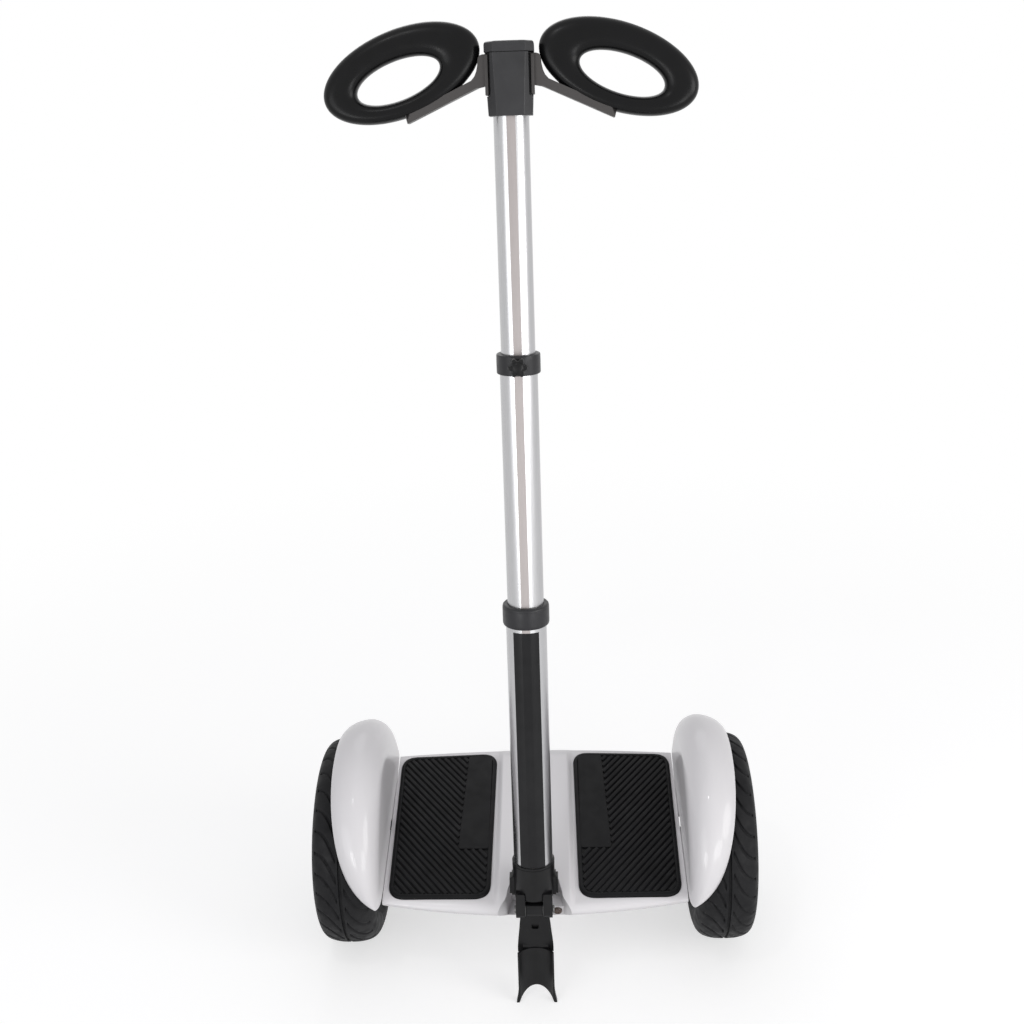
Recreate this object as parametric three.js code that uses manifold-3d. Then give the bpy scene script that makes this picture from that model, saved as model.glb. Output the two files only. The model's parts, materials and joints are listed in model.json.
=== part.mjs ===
import * as THREE from 'three';
import { mergeVertices } from 'three/addons/utils/BufferGeometryUtils.js';
import Module from 'manifold-3d';

const wasm = await Module();
wasm.setup();

// Sizes are in millimetres. The vehicle frame has its origin on the axle line, X to the right,
// Y to the rear and Z out of the deck. The mast frame has Z up the tube and Y to the rear.
// The object stands parked: the deck is tilted front down until the stand's prongs touch the floor.
const gap = 0.3;
const overrun = 1;
const parkedTilt = THREE.MathUtils.degToRad(12.5);
const mastLean = THREE.MathUtils.degToRad(18);

const tyre = {
  radius: 129,
  halfWidth: 37.5,
  shoulderRadius: 124,
  shoulderHalf: 29,
  crownHalf: 15,
  crownDrop: 0.8,
  grooveHalf: 1.6,
  grooveDepth: 3,
  wall: 5,
  beadRadius: 84,
  beadTop: 91,
  beadHalf: 25.7,
  beadWidth: 7,
  bulgeRadius: 104,
};
const track = { overallWidth: 550, sideGap: 12, steps: 32 };
const wheelCentre = track.overallWidth / 2 - tyre.halfWidth;
const deckHalfWidth = wheelCentre - tyre.halfWidth - track.sideGap;
const rim = { halfWidth: 28.5, flangeTop: 88.5, barrelInner: 76, sideWall: 6.5 };
const axle = { radius: 8, innerInset: 1.5, flatDepth: 1.5, steps: 18 };
const bearing = { outer: 16.7, width: 8, steps: 18 };
const stator = { outer: 70, inner: 40, halfWidth: 10, webHalf: 3, steps: 24 };
const cover = { thickness: 3, bossRadius: 21, domeRadius: 20, domeRise: 3, lipRadius: 60 };
const valve = { radius: 3, length: 7, placeRadius: 82, steps: 10 };

const deck = {
  wall: 3,
  lipWall: 7.7,
  topWall: 4,
  frontSide: 119,
  frontBow: 14,
  rearSide: 134,
  rearBow: 8,
  seam: 0,
  lipSide: 15,
  lipDrop: 6,
  rearLip: -14,
  topHeight: 18.5,
  floorHeight: -52,
  humpHeight: 6.5,
  humpHalf: 51,
  humpSlope: 8,
  humpFade: 26,
};
// Each row of an edge is a share of the edge's run inward and a share of its rise or drop.
const frontTop = { run: 11, shares: [[0, 0], [0.05, 0.3], [0.5, 0.88], [0.75, 0.97], [1, 1]] };
const frontUnder = { run: 54, shares: [[0, 0], [0.02, 0.06], [0.5, 0.545], [0.93, 0.96], [1, 1]] };
const rearTop = { run: 14, shares: [[0, 0], [0.03, 0.55], [0.14, 0.78], [0.45, 0.94], [1, 1]] };
const rearUnder = { run: 24, shares: [[0, 0], [0, 0.37], [0.08, 0.66], [0.38, 0.9], [1, 1]] };
const columnShares = [0, 0.14, 0.232, 0.25, 0.268, 0.42, 0.7, 1];
const middleRowShares = [0.35, 0.7];
const pocket = {
  rear: -91,
  rearHalf: 30,
  middle: -117,
  middleHalf: 34,
  mouthHalf: 52,
  floor: -15.5,
  floorWall: 2.5,
  wall: 3,
  front: -141,
};
const controlBoss = { inner: 19, outer: 37, front: -118, top: 5 };
const post = { radius: 5, holeRadius: 2, sinkRadius: 4.1, sinkDepth: 1.6, steps: 10 };
const postPlaces = { sideInset: 16, sideFront: -58, sideRear: 80, rearHalf: 62, rear: 106 };
const axleSlot = { halfWidth: 9 };

const fender = {
  wall: 2.5,
  skin: 0.6,
  hubRadius: 24,
  bendDrop: 11,
  crestClearance: 25,
  reach: 61,
  startAngle: THREE.MathUtils.degToRad(10),
  endAngle: THREE.MathUtils.degToRad(170),
  tipShare: 0.02,
  tipHeightShare: 0.5,
  tipPower: 2.2,
  crownPower: 0.55,
  steps: 16,
};
// Each point of the fender's section is a share of its reach outward and of its rise over the bend.
const fenderShares = [
  [0, 0], [0.02, 0.3], [0.1, 0.62], [0.26, 0.88], [0.48, 1], [0.72, 0.95], [0.9, 0.82], [1, 0.667],
];

const pad = {
  rearInner: 52.5,
  frontInner: 55,
  rearInset: 4,
  frontInset: 7,
  front: -117,
  rear: 127,
  cornerRadius: 15,
  top: 22,
  floor: 17,
  roll: 1.6,
  clearance: 0.5,
  cornerSteps: 6,
};
const sensor = { halfX: 36, halfY: 62, thickness: 1.4, inset: 2 };

const chassis = { endInset: 6, halfDepth: 26, wall: 5, webTop: -14 };
const chassisHalfLength = deckHalfWidth - chassis.endInset;
const floorSeat = deck.floorHeight + deck.wall + gap;
const clamp = { endInset: 3, length: 27, halfDepth: 19, top: 12.4 };
const clampOuter = chassisHalfLength - clamp.endInset;
const clampInner = clampOuter - clamp.length;
const axleReach = wheelCentre - clampInner + axle.innerInset;
const battery = { sideInset: 26, bracketGap: 34, front: -86, top: 0, clearance: 1 };
const board = {
  sideInset: 30,
  bracketGap: 18,
  front: -72,
  rear: -32,
  thickness: 3,
  standOff: 8,
  footInset: 9,
  canRadius: 8,
  canHeight: 22,
};
const boardCans = { inset: 26, count: 3, place: -60 };

const steer = { height: -2, hubRadius: 12, hubFront: -126, shaftRadius: 9, shaftRear: -29 };
const bracket = { halfWidth: 16, front: -87.7, frontWall: 10, rearWall: 8, top: 13, sill: -17 };
const coil = { wire: 1.8, turns: 3, sides: 6, stepsPerTurn: 12 };

const mast = { baseY: -124.4, baseZ: 15.3 };
const lowerTube = { outer: 23.5, inner: 21.7, bottom: 30, top: 388 };
const middleTube = { outer: 21, inner: 19.5, bottom: 192, top: 679 };
const upperTube = { outer: 19, inner: 17, bottom: 502, top: 990 };
const flatHalf = 4.75;
const tubeSteps = 28;
const bush = { length: 8, plug: 6, play: 0.25, wall: 2, steps: 20 };
const label = {
  bottom: 69,
  top: 363,
  halfAngle: THREE.MathUtils.degToRad(38),
  thickness: 0.35,
  standOff: 0.12,
  steps: 8,
};

const fork = { spigot: 20.6, spigotBottom: 20, spigotTop: 58, neck: 15.5, neckBottom: -16, neckFront: -3 };
const sleeve = { outer: 25.5, bottom: 20, top: 64, bore: 21.1, rimHeight: 1.2, rimInset: 0.8 };
const ear = { inner: 17, outer: 22, radius: 10, rear: -2, top: 30 };
const sideBoss = { reach: 27.4, halfWidth: 9.5, bottom: 18, top: 45, cornerRadius: 4, cornerSteps: 3 };
const release = {
  reach: 29.4,
  halfWidth: 7,
  wall: 0.3,
  thickness: 2.8,
  travel: 1.5,
  pin: 2.8,
  pinReach: 17,
  pinHeight: 26,
};
const ring = { outer: 27, bottom: 367.6, top: 392.4, rounding: 2.4 };

const hinge = { forward: 18, up: 6.8, barrel: 8.8, barrelHalf: 16.4, pin: 3, head: 4.6, headHeight: 1.8 };
const plate = {
  rear: -5.2,
  front: -9.8,
  top: 2,
  gussetLow: -12,
  bottom: -57,
  topHalf: 14,
  waistHalf: 19.5,
  bottomHalf: 22.5,
  waist: -28,
};
const gusset = { rearShare: 0.75, upShare: 0.5, front: -13.4, low: -6 };
const plateSlot = { halfWidth: 5.5, halfHeight: 2.2, centre: -14 };
const clip = {
  inner: 24.6,
  wall: 2.4,
  halfAngle: THREE.MathUtils.degToRad(62),
  top: -51,
  bottom: -130,
  archTop: -100,
  archShare: 0.93,
  flare: 3,
  flareTop: -101,
  flareRun: 9,
  prongDepth: 7,
  steps: 14,
};

const collar = { outer: 24.4, bottom: 661, top: 683.4, lugHalf: 8, lugReach: 29.5, rounding: 1.5 };
const knob = {
  reach: 11,
  lobe: 3.4,
  lobes: 6,
  pointsPerLobe: 8,
  thickness: 8,
  domeRadius: 6.6,
  domeRise: 2.5,
  domeShare: 0.7,
  up: 672.4,
};
const clampBolt = { radius: 2.5, grip: 5, nutHalf: 4.6, nutThickness: 3.2, nutInset: 1, hexSides: 6 };

const head = {
  topHalf: 26,
  bottomHalf: 23.2,
  bottom: 936,
  seam: 999.6,
  chamfer: 9,
  capTop: 1011,
  capRound: 3,
};
const slot = { bottom: 956, floor: 22.2, frontFloor: 20.2, step: -10, rear: 12 };
const arm = {
  bottom: 957.5,
  top: 998.6,
  front: -15.5,
  rear: 11.6,
  thickness: 3.2,
  webBottom: 967,
  webRear: 2.6,
  corner: 3,
  barHalf: 11.6,
  barThickness: 8.5,
  shoulderOut: 33,
  shoulderUp: 990,
  elbowOut: 39.5,
  elbowUp: 973.2,
  endOut: 111,
  endUp: 939.6,
  endInset: 2.2,
};
const armScrew = { radius: 1.5, headRadius: 3, headHeight: 1.4, up: 978, rear: 7, tip: 19.2 };
const grip = {
  centreOut: 114,
  centreUp: 982.5,
  long: 87,
  short: 44.5,
  holeOut: 117.5,
  holeUp: 975.5,
  holeLong: 46.5,
  holeShort: 19.5,
  droop: THREE.MathUtils.degToRad(20),
  halfDepth: 14,
  steps: 28,
  sides: 10,
  squareShare: 0.8,
};

const button = { radius: 5.2, centre: 28, height: -2, front: -120.4, length: 6, travel: 1.2, steps: 20 };
const socket = {
  radius: 8.6,
  bore: 5,
  depth: 20,
  height: -13,
  flange: 10,
  flangeThickness: 2,
  standOff: 0.6,
};
const flap = {
  radius: 12,
  thickness: 2.6,
  pivotUp: 9.5,
  topUp: 0.8,
  trunnion: 1.3,
  halfWidth: 7,
  lug: 3,
  lugSize: 2.6,
};

// Materials carry the colours seen in the photograph.
const paint = (color, roughness, metalness) => (
  new THREE.MeshStandardMaterial({ color, roughness, metalness })
);
const finishes = {
  whiteGloss: () => paint(0xe9e5ea, 0.22, 0),
  blackRubber: () => paint(0x17171a, 0.85, 0),
  blackPlastic: () => paint(0x1d1d20, 0.5, 0),
  greyPlastic: () => paint(0x55555a, 0.45, 0.1),
  greyMetal: () => paint(0x6e6a6c, 0.45, 0.6),
  alloy: () => paint(0xc9c8ce, 0.35, 0.85),
  steel: () => paint(0x8d8f94, 0.35, 0.9),
  brownPlastic: () => paint(0x4a3a34, 0.4, 0),
  green: () => paint(0x1f5a3a, 0.6, 0),
};

// A closed solid from any three.js geometry, with its faces turned outward.
function solid(geometry) {
  const bare = geometry.clone();
  bare.deleteAttribute('normal');
  bare.deleteAttribute('uv');
  const merged = mergeVertices(bare);
  const places = merged.attributes.position;
  const corners = merged.index.array;
  const kept = [];
  let volume = 0;
  const [a, b, c] = [new THREE.Vector3(), new THREE.Vector3(), new THREE.Vector3()];
  for (let i = 0; i < corners.length; i += 3) {
    const [p, q, r] = corners.slice(i, i + 3);
    if (p === q || q === r || r === p) continue;
    kept.push(p, q, r);
    a.fromBufferAttribute(places, p);
    b.fromBufferAttribute(places, q);
    c.fromBufferAttribute(places, r);
    volume += a.dot(b.cross(c));
  }
  if (volume < 0) kept.reverse();
  const mesh = new wasm.Mesh({
    numProp: 3,
    vertProperties: new Float32Array(places.array),
    triVerts: new Uint32Array(kept),
  });
  return new wasm.Manifold(mesh);
}

function geometryOf(manifold) {
  const mesh = manifold.getMesh();
  const geometry = new THREE.BufferGeometry();
  geometry.setAttribute('position', new THREE.BufferAttribute(new Float32Array(mesh.vertProperties), 3));
  geometry.setIndex(new THREE.BufferAttribute(new Uint32Array(mesh.triVerts), 1));
  geometry.computeVertexNormals();
  return geometry;
}

function add(parent, name, manifold, finish) {
  const mesh = new THREE.Mesh(geometryOf(manifold), finishes[finish]());
  mesh.name = name;
  parent.add(mesh);
  return mesh;
}

function union(...solids) {
  return solids.reduce((sum, next) => sum.add(next));
}

function box(low, high) {
  const size = high.map((value, i) => value - low[i]);
  const geometry = new THREE.BoxGeometry(...size);
  return geometry.translate(...low.map((value, i) => (value + high[i]) / 2));
}

function rod(axis, radius, from, to, steps) {
  const geometry = new THREE.CylinderGeometry(radius, radius, to - from, steps);
  geometry.translate(0, (from + to) / 2, 0);
  if (axis === 'x') geometry.rotateZ(-Math.PI / 2);
  if (axis === 'z') geometry.rotateX(Math.PI / 2);
  return geometry;
}

// A turned body from points of place along the axis and radius. A profile off the axis closes itself.
function turned(axis, points, steps) {
  const profile = points.map(([along, radius]) => new THREE.Vector2(radius, along));
  const onAxis = points[0][1] === 0;
  if (!onAxis) profile.push(profile[0].clone());
  const geometry = new THREE.LatheGeometry(profile, steps);
  if (axis === 'x') geometry.rotateZ(-Math.PI / 2);
  if (axis === 'z') geometry.rotateX(Math.PI / 2);
  return geometry;
}

// A prism from outline points in the XY plane.
function prism(points, from, to) {
  const shape = new THREE.Shape(points.map(([x, y]) => new THREE.Vector2(x, y)));
  const options = { depth: to - from, bevelEnabled: false, curveSegments: 1 };
  return new THREE.ExtrudeGeometry(shape, options).translate(0, 0, from);
}

// A prism whose outline lies in the YZ plane and whose length runs along X.
function sidePrism(points, from, to) {
  const geometry = prism(points, from, to);
  geometry.rotateY(Math.PI / 2);
  geometry.rotateX(Math.PI / 2);
  return geometry;
}

function roundedOutline(corners, radius, steps) {
  const outline = [];
  corners.forEach((corner, i) => {
    const before = new THREE.Vector2(...corners[(i + corners.length - 1) % corners.length]);
    const after = new THREE.Vector2(...corners[(i + 1) % corners.length]);
    const here = new THREE.Vector2(...corner);
    const back = before.sub(here).normalize();
    const on = after.sub(here).normalize();
    const start = here.clone().addScaledVector(back, radius);
    const end = here.clone().addScaledVector(on, radius);
    const curve = new THREE.QuadraticBezierCurve(start, here, end);
    curve.getPoints(steps).forEach((point) => outline.push([point.x, point.y]));
  });
  return outline;
}

// A closed body between two grids of points that match row by row.
function between(outer, inner) {
  const rows = outer.length;
  const columns = outer[0].length;
  const places = [];
  [outer, inner].forEach((grid) => grid.forEach((row) => row.forEach((p) => places.push(p.x, p.y, p.z))));
  const at = (layer, i, j) => (layer * rows + i) * columns + j;
  const corners = [];
  const quad = (a, b, c, d) => corners.push(a, b, c, a, c, d);
  for (let i = 0; i < rows - 1; i += 1) {
    for (let j = 0; j < columns - 1; j += 1) {
      quad(at(0, i, j), at(0, i + 1, j), at(0, i + 1, j + 1), at(0, i, j + 1));
      quad(at(1, i, j), at(1, i, j + 1), at(1, i + 1, j + 1), at(1, i + 1, j));
    }
    quad(at(0, i, 0), at(1, i, 0), at(1, i + 1, 0), at(0, i + 1, 0));
    quad(at(0, i, columns - 1), at(0, i + 1, columns - 1), at(1, i + 1, columns - 1), at(1, i, columns - 1));
  }
  for (let j = 0; j < columns - 1; j += 1) {
    quad(at(0, 0, j), at(0, 0, j + 1), at(1, 0, j + 1), at(1, 0, j));
    quad(at(0, rows - 1, j), at(1, rows - 1, j), at(1, rows - 1, j + 1), at(0, rows - 1, j + 1));
  }
  const geometry = new THREE.BufferGeometry();
  geometry.setAttribute('position', new THREE.Float32BufferAttribute(places, 3));
  geometry.setIndex(corners);
  return geometry;
}

// A closed body swept round a ring of sections, each a closed loop of points.
function sweptRing(sections, closed) {
  const count = sections.length;
  const sides = sections[0].length;
  const places = [];
  sections.forEach((section) => section.forEach((p) => places.push(p.x, p.y, p.z)));
  const corners = [];
  const last = closed ? count : count - 1;
  for (let i = 0; i < last; i += 1) {
    const next = (i + 1) % count;
    for (let j = 0; j < sides; j += 1) {
      const k = (j + 1) % sides;
      corners.push(i * sides + j, next * sides + j, next * sides + k);
      corners.push(i * sides + j, next * sides + k, i * sides + k);
    }
  }
  if (!closed) {
    for (let j = 1; j < sides - 1; j += 1) {
      corners.push(0, j, j + 1);
      corners.push((count - 1) * sides, (count - 1) * sides + j + 1, (count - 1) * sides + j);
    }
  }
  const geometry = new THREE.BufferGeometry();
  geometry.setAttribute('position', new THREE.Float32BufferAttribute(places, 3));
  geometry.setIndex(corners);
  return geometry;
}

const flatDistance = (outer) => outer * Math.cos(Math.asin(flatHalf / outer));

// A tube section with one flat at the front and one at the rear.
function flattedTube({ outer, inner, bottom, top }) {
  const flatEdge = flatDistance(outer);
  const barrel = solid(rod('z', outer, bottom, top, tubeSteps));
  const front = solid(box([-outer, -outer - overrun, bottom - overrun], [outer, -flatEdge, top + overrun]));
  const rear = solid(box([-outer, flatEdge, bottom - overrun], [outer, outer + overrun, top + overrun]));
  const bore = solid(rod('z', inner, bottom - overrun, top + overrun, tubeSteps));
  return barrel.subtract(front).subtract(rear).subtract(bore);
}

// Deck

const frontLine = (x) => -(deck.frontSide + deck.frontBow * (1 - (x / deckHalfWidth) ** 2));
const rearLine = (x) => deck.rearSide + deck.rearBow * (1 - (x / deckHalfWidth) ** 2);

const lipHeight = (x) => deck.lipSide - deck.lipDrop * (1 - (x / deckHalfWidth) ** 2);

// How far each face of a form lies inside the deck's outer faces
const outerSkin = { side: 0, front: 0, rear: 0, top: 0, floor: 0 };
const skinWithin = (inset) => ({
  side: deck.wall + inset,
  front: deck.lipWall + inset,
  rear: deck.wall + inset,
  top: deck.topWall,
  floor: deck.wall,
});

// The deck's whole form, in sections from side to side. The front recedes below its lip.
function deckForm(skin) {
  const half = deckHalfWidth - skin.side;
  const top = deck.topHeight - skin.top;
  const floor = deck.floorHeight + skin.floor;
  const columns = [...columnShares.slice(1).map((s) => -s).reverse(), ...columnShares];
  const sections = columns.map((column) => {
    const x = column * half;
    const front = frontLine(x) + skin.front;
    const rear = rearLine(x) - skin.rear;
    const lip = lipHeight(x) - skin.top;
    const under = frontUnder.run * ((lip - floor) / (lipHeight(x) - deck.floorHeight));
    const slope = THREE.MathUtils.clamp((deck.humpHalf - Math.abs(x)) / deck.humpSlope, 0, 1);
    const hump = deck.humpHeight * slope * slope * (3 - 2 * slope);
    const rise = (inset) => hump * Math.min(1, inset / deck.humpFade);
    const rows = [...frontUnder.shares].reverse()
      .map(([run, down]) => [front + run * under, lip - (lip - floor) * down]);
    frontTop.shares.slice(1).forEach(([run, up]) => {
      const inset = run * frontTop.run;
      rows.push([front + inset, lip + (top - lip) * up + rise(inset)]);
    });
    const [from, to] = [front + deck.humpFade, rear - deck.humpFade];
    rows.push([from, top + hump]);
    middleRowShares.forEach((s) => rows.push([from + (to - from) * s, top + hump]));
    rows.push([to, top + hump]);
    [...rearTop.shares].reverse().forEach(([run, up]) => {
      const inset = run * rearTop.run;
      rows.push([rear - inset, deck.rearLip + (top - deck.rearLip) * up + rise(inset)]);
    });
    rearUnder.shares.slice(1).forEach(([run, down]) => {
      rows.push([rear - run * rearUnder.run, deck.rearLip - (deck.rearLip - floor) * down]);
    });
    return rows.map(([y, z]) => new THREE.Vector3(x, y, z));
  });
  return solid(sweptRing(sections, false));
}

// A block wider than the deck, between two heights
function slab(low, high) {
  const reach = track.overallWidth;
  return solid(box([-reach, -reach, low], [reach, reach, high]));
}

// The pocket flares toward its mouth, and grows by the same distance on every wall.
function pocketOutline(grow) {
  const flare = (pocket.mouthHalf - pocket.middleHalf) / (pocket.middle - pocket.front);
  const stretch = Math.hypot(1, flare);
  const right = [
    [pocket.rearHalf + grow, pocket.rear + grow],
    [pocket.middleHalf + grow, pocket.middle + grow * (stretch - 1) / flare],
    [pocket.mouthHalf + grow * stretch, pocket.front],
  ];
  return [...right.map(([x, y]) => [-x, y]).reverse(), ...right];
}

const padCentre = (pad.rearInner + deckHalfWidth - pad.rearInset) / 2;

function padOutline(side, grow) {
  const corners = [
    [side * (pad.frontInner - grow), pad.front - grow],
    [side * (deckHalfWidth - pad.frontInset + grow), pad.front - grow],
    [side * (deckHalfWidth - pad.rearInset + grow), pad.rear + grow],
    [side * (pad.rearInner - grow), pad.rear + grow],
  ];
  return roundedOutline(side > 0 ? corners : corners.reverse(), pad.cornerRadius + grow, pad.cornerSteps);
}

const postSpots = [-1, 1].flatMap((side) => [
  [side * (deckHalfWidth - postPlaces.sideInset), postPlaces.sideFront],
  [side * (deckHalfWidth - postPlaces.sideInset), postPlaces.sideRear],
  [side * postPlaces.rearHalf, postPlaces.rear],
]);
const innerTop = deck.topHeight - deck.topWall;

// Holes in both side walls, where the axles pass
function cutAxleSlots(deckPart) {
  return [-1, 1].reduce((part, side) => {
    const edges = [side * (deckHalfWidth - deck.wall - overrun), side * (deckHalfWidth + overrun)];
    const low = [Math.min(...edges), -axleSlot.halfWidth, -axleSlot.halfWidth];
    return part.subtract(solid(box(low, [Math.max(...edges), axleSlot.halfWidth, axleSlot.halfWidth])));
  }, deckPart);
}

function deckShell() {
  const outer = deckForm(outerSkin);
  const humpTop = deck.topHeight + deck.humpHeight;
  const tub = solid(prism(pocketOutline(pocket.wall), pocket.floor - pocket.floorWall, humpTop));
  let shell = outer.subtract(deckForm(skinWithin(0))).intersect(slab(deck.seam, humpTop + overrun));
  shell = shell.add(tub.intersect(outer));
  postSpots.forEach(([x, y]) => {
    const pillar = rod('z', post.radius, floorSeat, innerTop + overrun, post.steps).translate(x, y, 0);
    const bore = rod('z', post.holeRadius, floorSeat - overrun, deck.seam, post.steps).translate(x, y, 0);
    shell = shell.add(solid(pillar)).subtract(solid(bore));
  });
  const cavity = solid(prism(pocketOutline(0), pocket.floor, humpTop + overrun));
  const boss = solid(box([controlBoss.inner, controlBoss.front, pocket.floor - overrun],
    [controlBoss.outer, pocket.rear + overrun, controlBoss.top]));
  const shaftRear = pocket.rear + pocket.wall + overrun;
  const shaftBore = rod('y', steer.shaftRadius + gap + gap, pocket.rear - overrun, shaftRear, axle.steps);
  const buttonRear = button.front + button.length + button.travel + gap;
  const buttonBore = rod('y', button.radius + gap, controlBoss.front - overrun, buttonRear, button.steps);
  shell = shell.subtract(cavity.subtract(boss))
    .subtract(solid(shaftBore.translate(0, 0, steer.height)))
    .subtract(solid(buttonBore.translate(button.centre, 0, button.height)));
  [-1, 1].forEach((side) => {
    shell = shell.subtract(solid(prism(padOutline(side, pad.clearance), pad.floor, pad.top)));
  });
  return cutAxleSlots(shell);
}

const flapPivotY = rearLine(0) + gap + flap.thickness / 2;

function deckBelly() {
  let belly = deckForm(outerSkin).subtract(deckForm(skinWithin(0)))
    .intersect(slab(deck.floorHeight - overrun, deck.seam - gap));
  const tubRoom = prism(pocketOutline(pocket.wall + gap), pocket.floor - pocket.floorWall - gap, deck.seam);
  const pivotHeight = socket.height + flap.pivotUp;
  const lugs = [-1, 1].map((side) => {
    const edges = [side * (flap.halfWidth + gap), side * (flap.halfWidth + gap + flap.lug)];
    const low = [Math.min(...edges), rearLine(0) - overrun, pivotHeight - flap.lugSize];
    const high = [Math.max(...edges), flapPivotY + flap.lugSize, pivotHeight + flap.lugSize];
    return solid(box(low, high));
  });
  const socketFront = rearLine(0) - deck.wall - overrun;
  const socketBore = rod('y', socket.radius + gap, socketFront, rearLine(0) + overrun, axle.steps);
  const lugReach = flap.halfWidth + gap + flap.lug + overrun;
  const lugBore = rod('x', flap.trunnion + gap, -lugReach, lugReach, bearing.steps);
  belly = union(belly.subtract(solid(tubRoom)), ...lugs)
    .subtract(solid(socketBore.translate(0, 0, socket.height)))
    .subtract(solid(lugBore.translate(0, flapPivotY, pivotHeight)));
  postSpots.forEach(([x, y]) => {
    const below = deck.floorHeight - overrun;
    const hole = rod('z', post.holeRadius + gap, below, floorSeat, post.steps);
    const sink = rod('z', post.sinkRadius, below, deck.floorHeight + post.sinkDepth, post.steps);
    belly = belly.subtract(solid(hole.translate(x, y, 0))).subtract(solid(sink.translate(x, y, 0)));
  });
  return cutAxleSlots(belly);
}

// Trims a piece that stands near the belly's sloping front wall
const withinBelly = (piece) => piece.intersect(deckForm(skinWithin(battery.clearance)));

function footPad(side) {
  const shape = new THREE.Shape(padOutline(side, 0).map(([x, y]) => new THREE.Vector2(x, y)));
  const geometry = new THREE.ExtrudeGeometry(shape, {
    depth: pad.top - pad.floor - gap - 2 * pad.roll,
    bevelEnabled: true,
    bevelThickness: pad.roll,
    bevelSize: pad.roll,
    bevelOffset: -pad.roll,
    bevelSegments: 1,
    curveSegments: 1,
  });
  geometry.translate(0, 0, pad.floor + gap + pad.roll);
  const centre = side * padCentre;
  const middle = (pad.front + pad.rear) / 2;
  const play = gap + gap;
  const hollow = box([centre - sensor.halfX - play, middle - sensor.halfY - play, pad.floor],
    [centre + sensor.halfX + play, middle + sensor.halfY + play, pad.floor + gap + sensor.inset]);
  return solid(geometry).subtract(solid(hollow));
}

function footSensor(side) {
  const centre = side * padCentre;
  const middle = (pad.front + pad.rear) / 2;
  return solid(box([centre - sensor.halfX, middle - sensor.halfY, pad.floor + gap],
    [centre + sensor.halfX, middle + sensor.halfY, pad.floor + gap + sensor.thickness]));
}

// The fender is a plate beside the deck that bulges out over the tyre and narrows to a tip at each end.
function fenderSection(angle) {
  const middle = (fender.startAngle + fender.endAngle) / 2;
  const fromMiddle = Math.abs(angle - middle) / (middle - fender.startAngle);
  const along = Math.max(1 - fromMiddle, 0) + fender.tipShare;
  const widthShare = (1 - Math.max(1 - along, 0) ** fender.tipPower) ** fender.crownPower;
  const heightShare = fender.tipHeightShare + (1 - fender.tipHeightShare) * widthShare;
  const start = deckHalfWidth + fender.skin;
  const points = [[start, fender.hubRadius]];
  fenderShares.forEach(([out, up]) => {
    const rise = (fender.crestClearance + fender.bendDrop) * up * heightShare;
    points.push([start + fender.reach * out * widthShare, tyre.radius - fender.bendDrop + rise]);
  });
  return points;
}

function fenderShell(side) {
  const outer = [];
  for (let i = 0; i <= fender.steps; i += 1) {
    const angle = fender.startAngle + (fender.endAngle - fender.startAngle) * (i / fender.steps);
    const toRim = new THREE.Vector3(0, -Math.cos(angle), Math.sin(angle));
    outer.push(fenderSection(angle).map(([x, r]) => toRim.clone().multiplyScalar(r).setX(side * x)));
  }
  const inner = outer.map((row, i) => row.map((point, j) => {
    const across = row[Math.min(j + 1, row.length - 1)].clone().sub(row[Math.max(j - 1, 0)]);
    const before = outer[Math.max(i - 1, 0)][j];
    const along = outer[Math.min(i + 1, outer.length - 1)][j].clone().sub(before);
    const normal = across.cross(along).normalize().multiplyScalar(side * fender.wall);
    return point.clone().sub(normal);
  }));
  return solid(between(outer, inner));
}

// Inside the deck

function chassisFrame() {
  const low = [-chassisHalfLength, -chassis.halfDepth, floorSeat];
  const beam = solid(box(low, [chassisHalfLength, chassis.halfDepth, -gap / 2]));
  const innerDepth = chassis.halfDepth - chassis.wall;
  const hollow = box([-chassisHalfLength - overrun, -innerDepth, floorSeat + chassis.wall],
    [chassisHalfLength + overrun, innerDepth, chassis.webTop]);
  let frame = beam.subtract(solid(hollow));
  [-1, 1].forEach((side) => {
    const ends = [side * (wheelCentre - axleReach - overrun), side * (chassisHalfLength + overrun)];
    const seat = rod('x', axle.radius + gap, Math.min(...ends), Math.max(...ends), axle.steps);
    frame = frame.subtract(solid(seat));
  });
  return frame;
}

function axleClamp(side) {
  const edges = [side * clampInner, side * clampOuter];
  const low = [Math.min(...edges), -clamp.halfDepth, gap / 2];
  const high = [Math.max(...edges), clamp.halfDepth, clamp.top];
  const bore = rod('x', axle.radius + gap, low[0] - overrun, high[0] + overrun, axle.steps);
  return solid(box(low, high)).subtract(solid(bore));
}

function controllerBoard() {
  const boardTop = floorSeat + board.standOff + board.thickness;
  const right = deckHalfWidth - board.sideInset;
  const left = bracket.halfWidth + board.bracketGap;
  const plateLow = [left, board.front, floorSeat + board.standOff];
  const parts = [solid(box(plateLow, [right, board.rear, boardTop]))];
  [left, right - board.standOff].forEach((x) => {
    [board.front + board.footInset, board.rear - board.standOff].forEach((y) => {
      parts.push(solid(box([x, y, floorSeat], [x + board.standOff, y + board.standOff, boardTop - gap])));
    });
  });
  const pitch = (right - left - 2 * boardCans.inset) / (boardCans.count - 1);
  for (let i = 0; i < boardCans.count; i += 1) {
    const can = rod('z', board.canRadius, boardTop - gap, boardTop + board.canHeight, post.steps);
    parts.push(solid(can.translate(left + boardCans.inset + i * pitch, boardCans.place, 0)));
  }
  return union(...parts);
}

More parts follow.
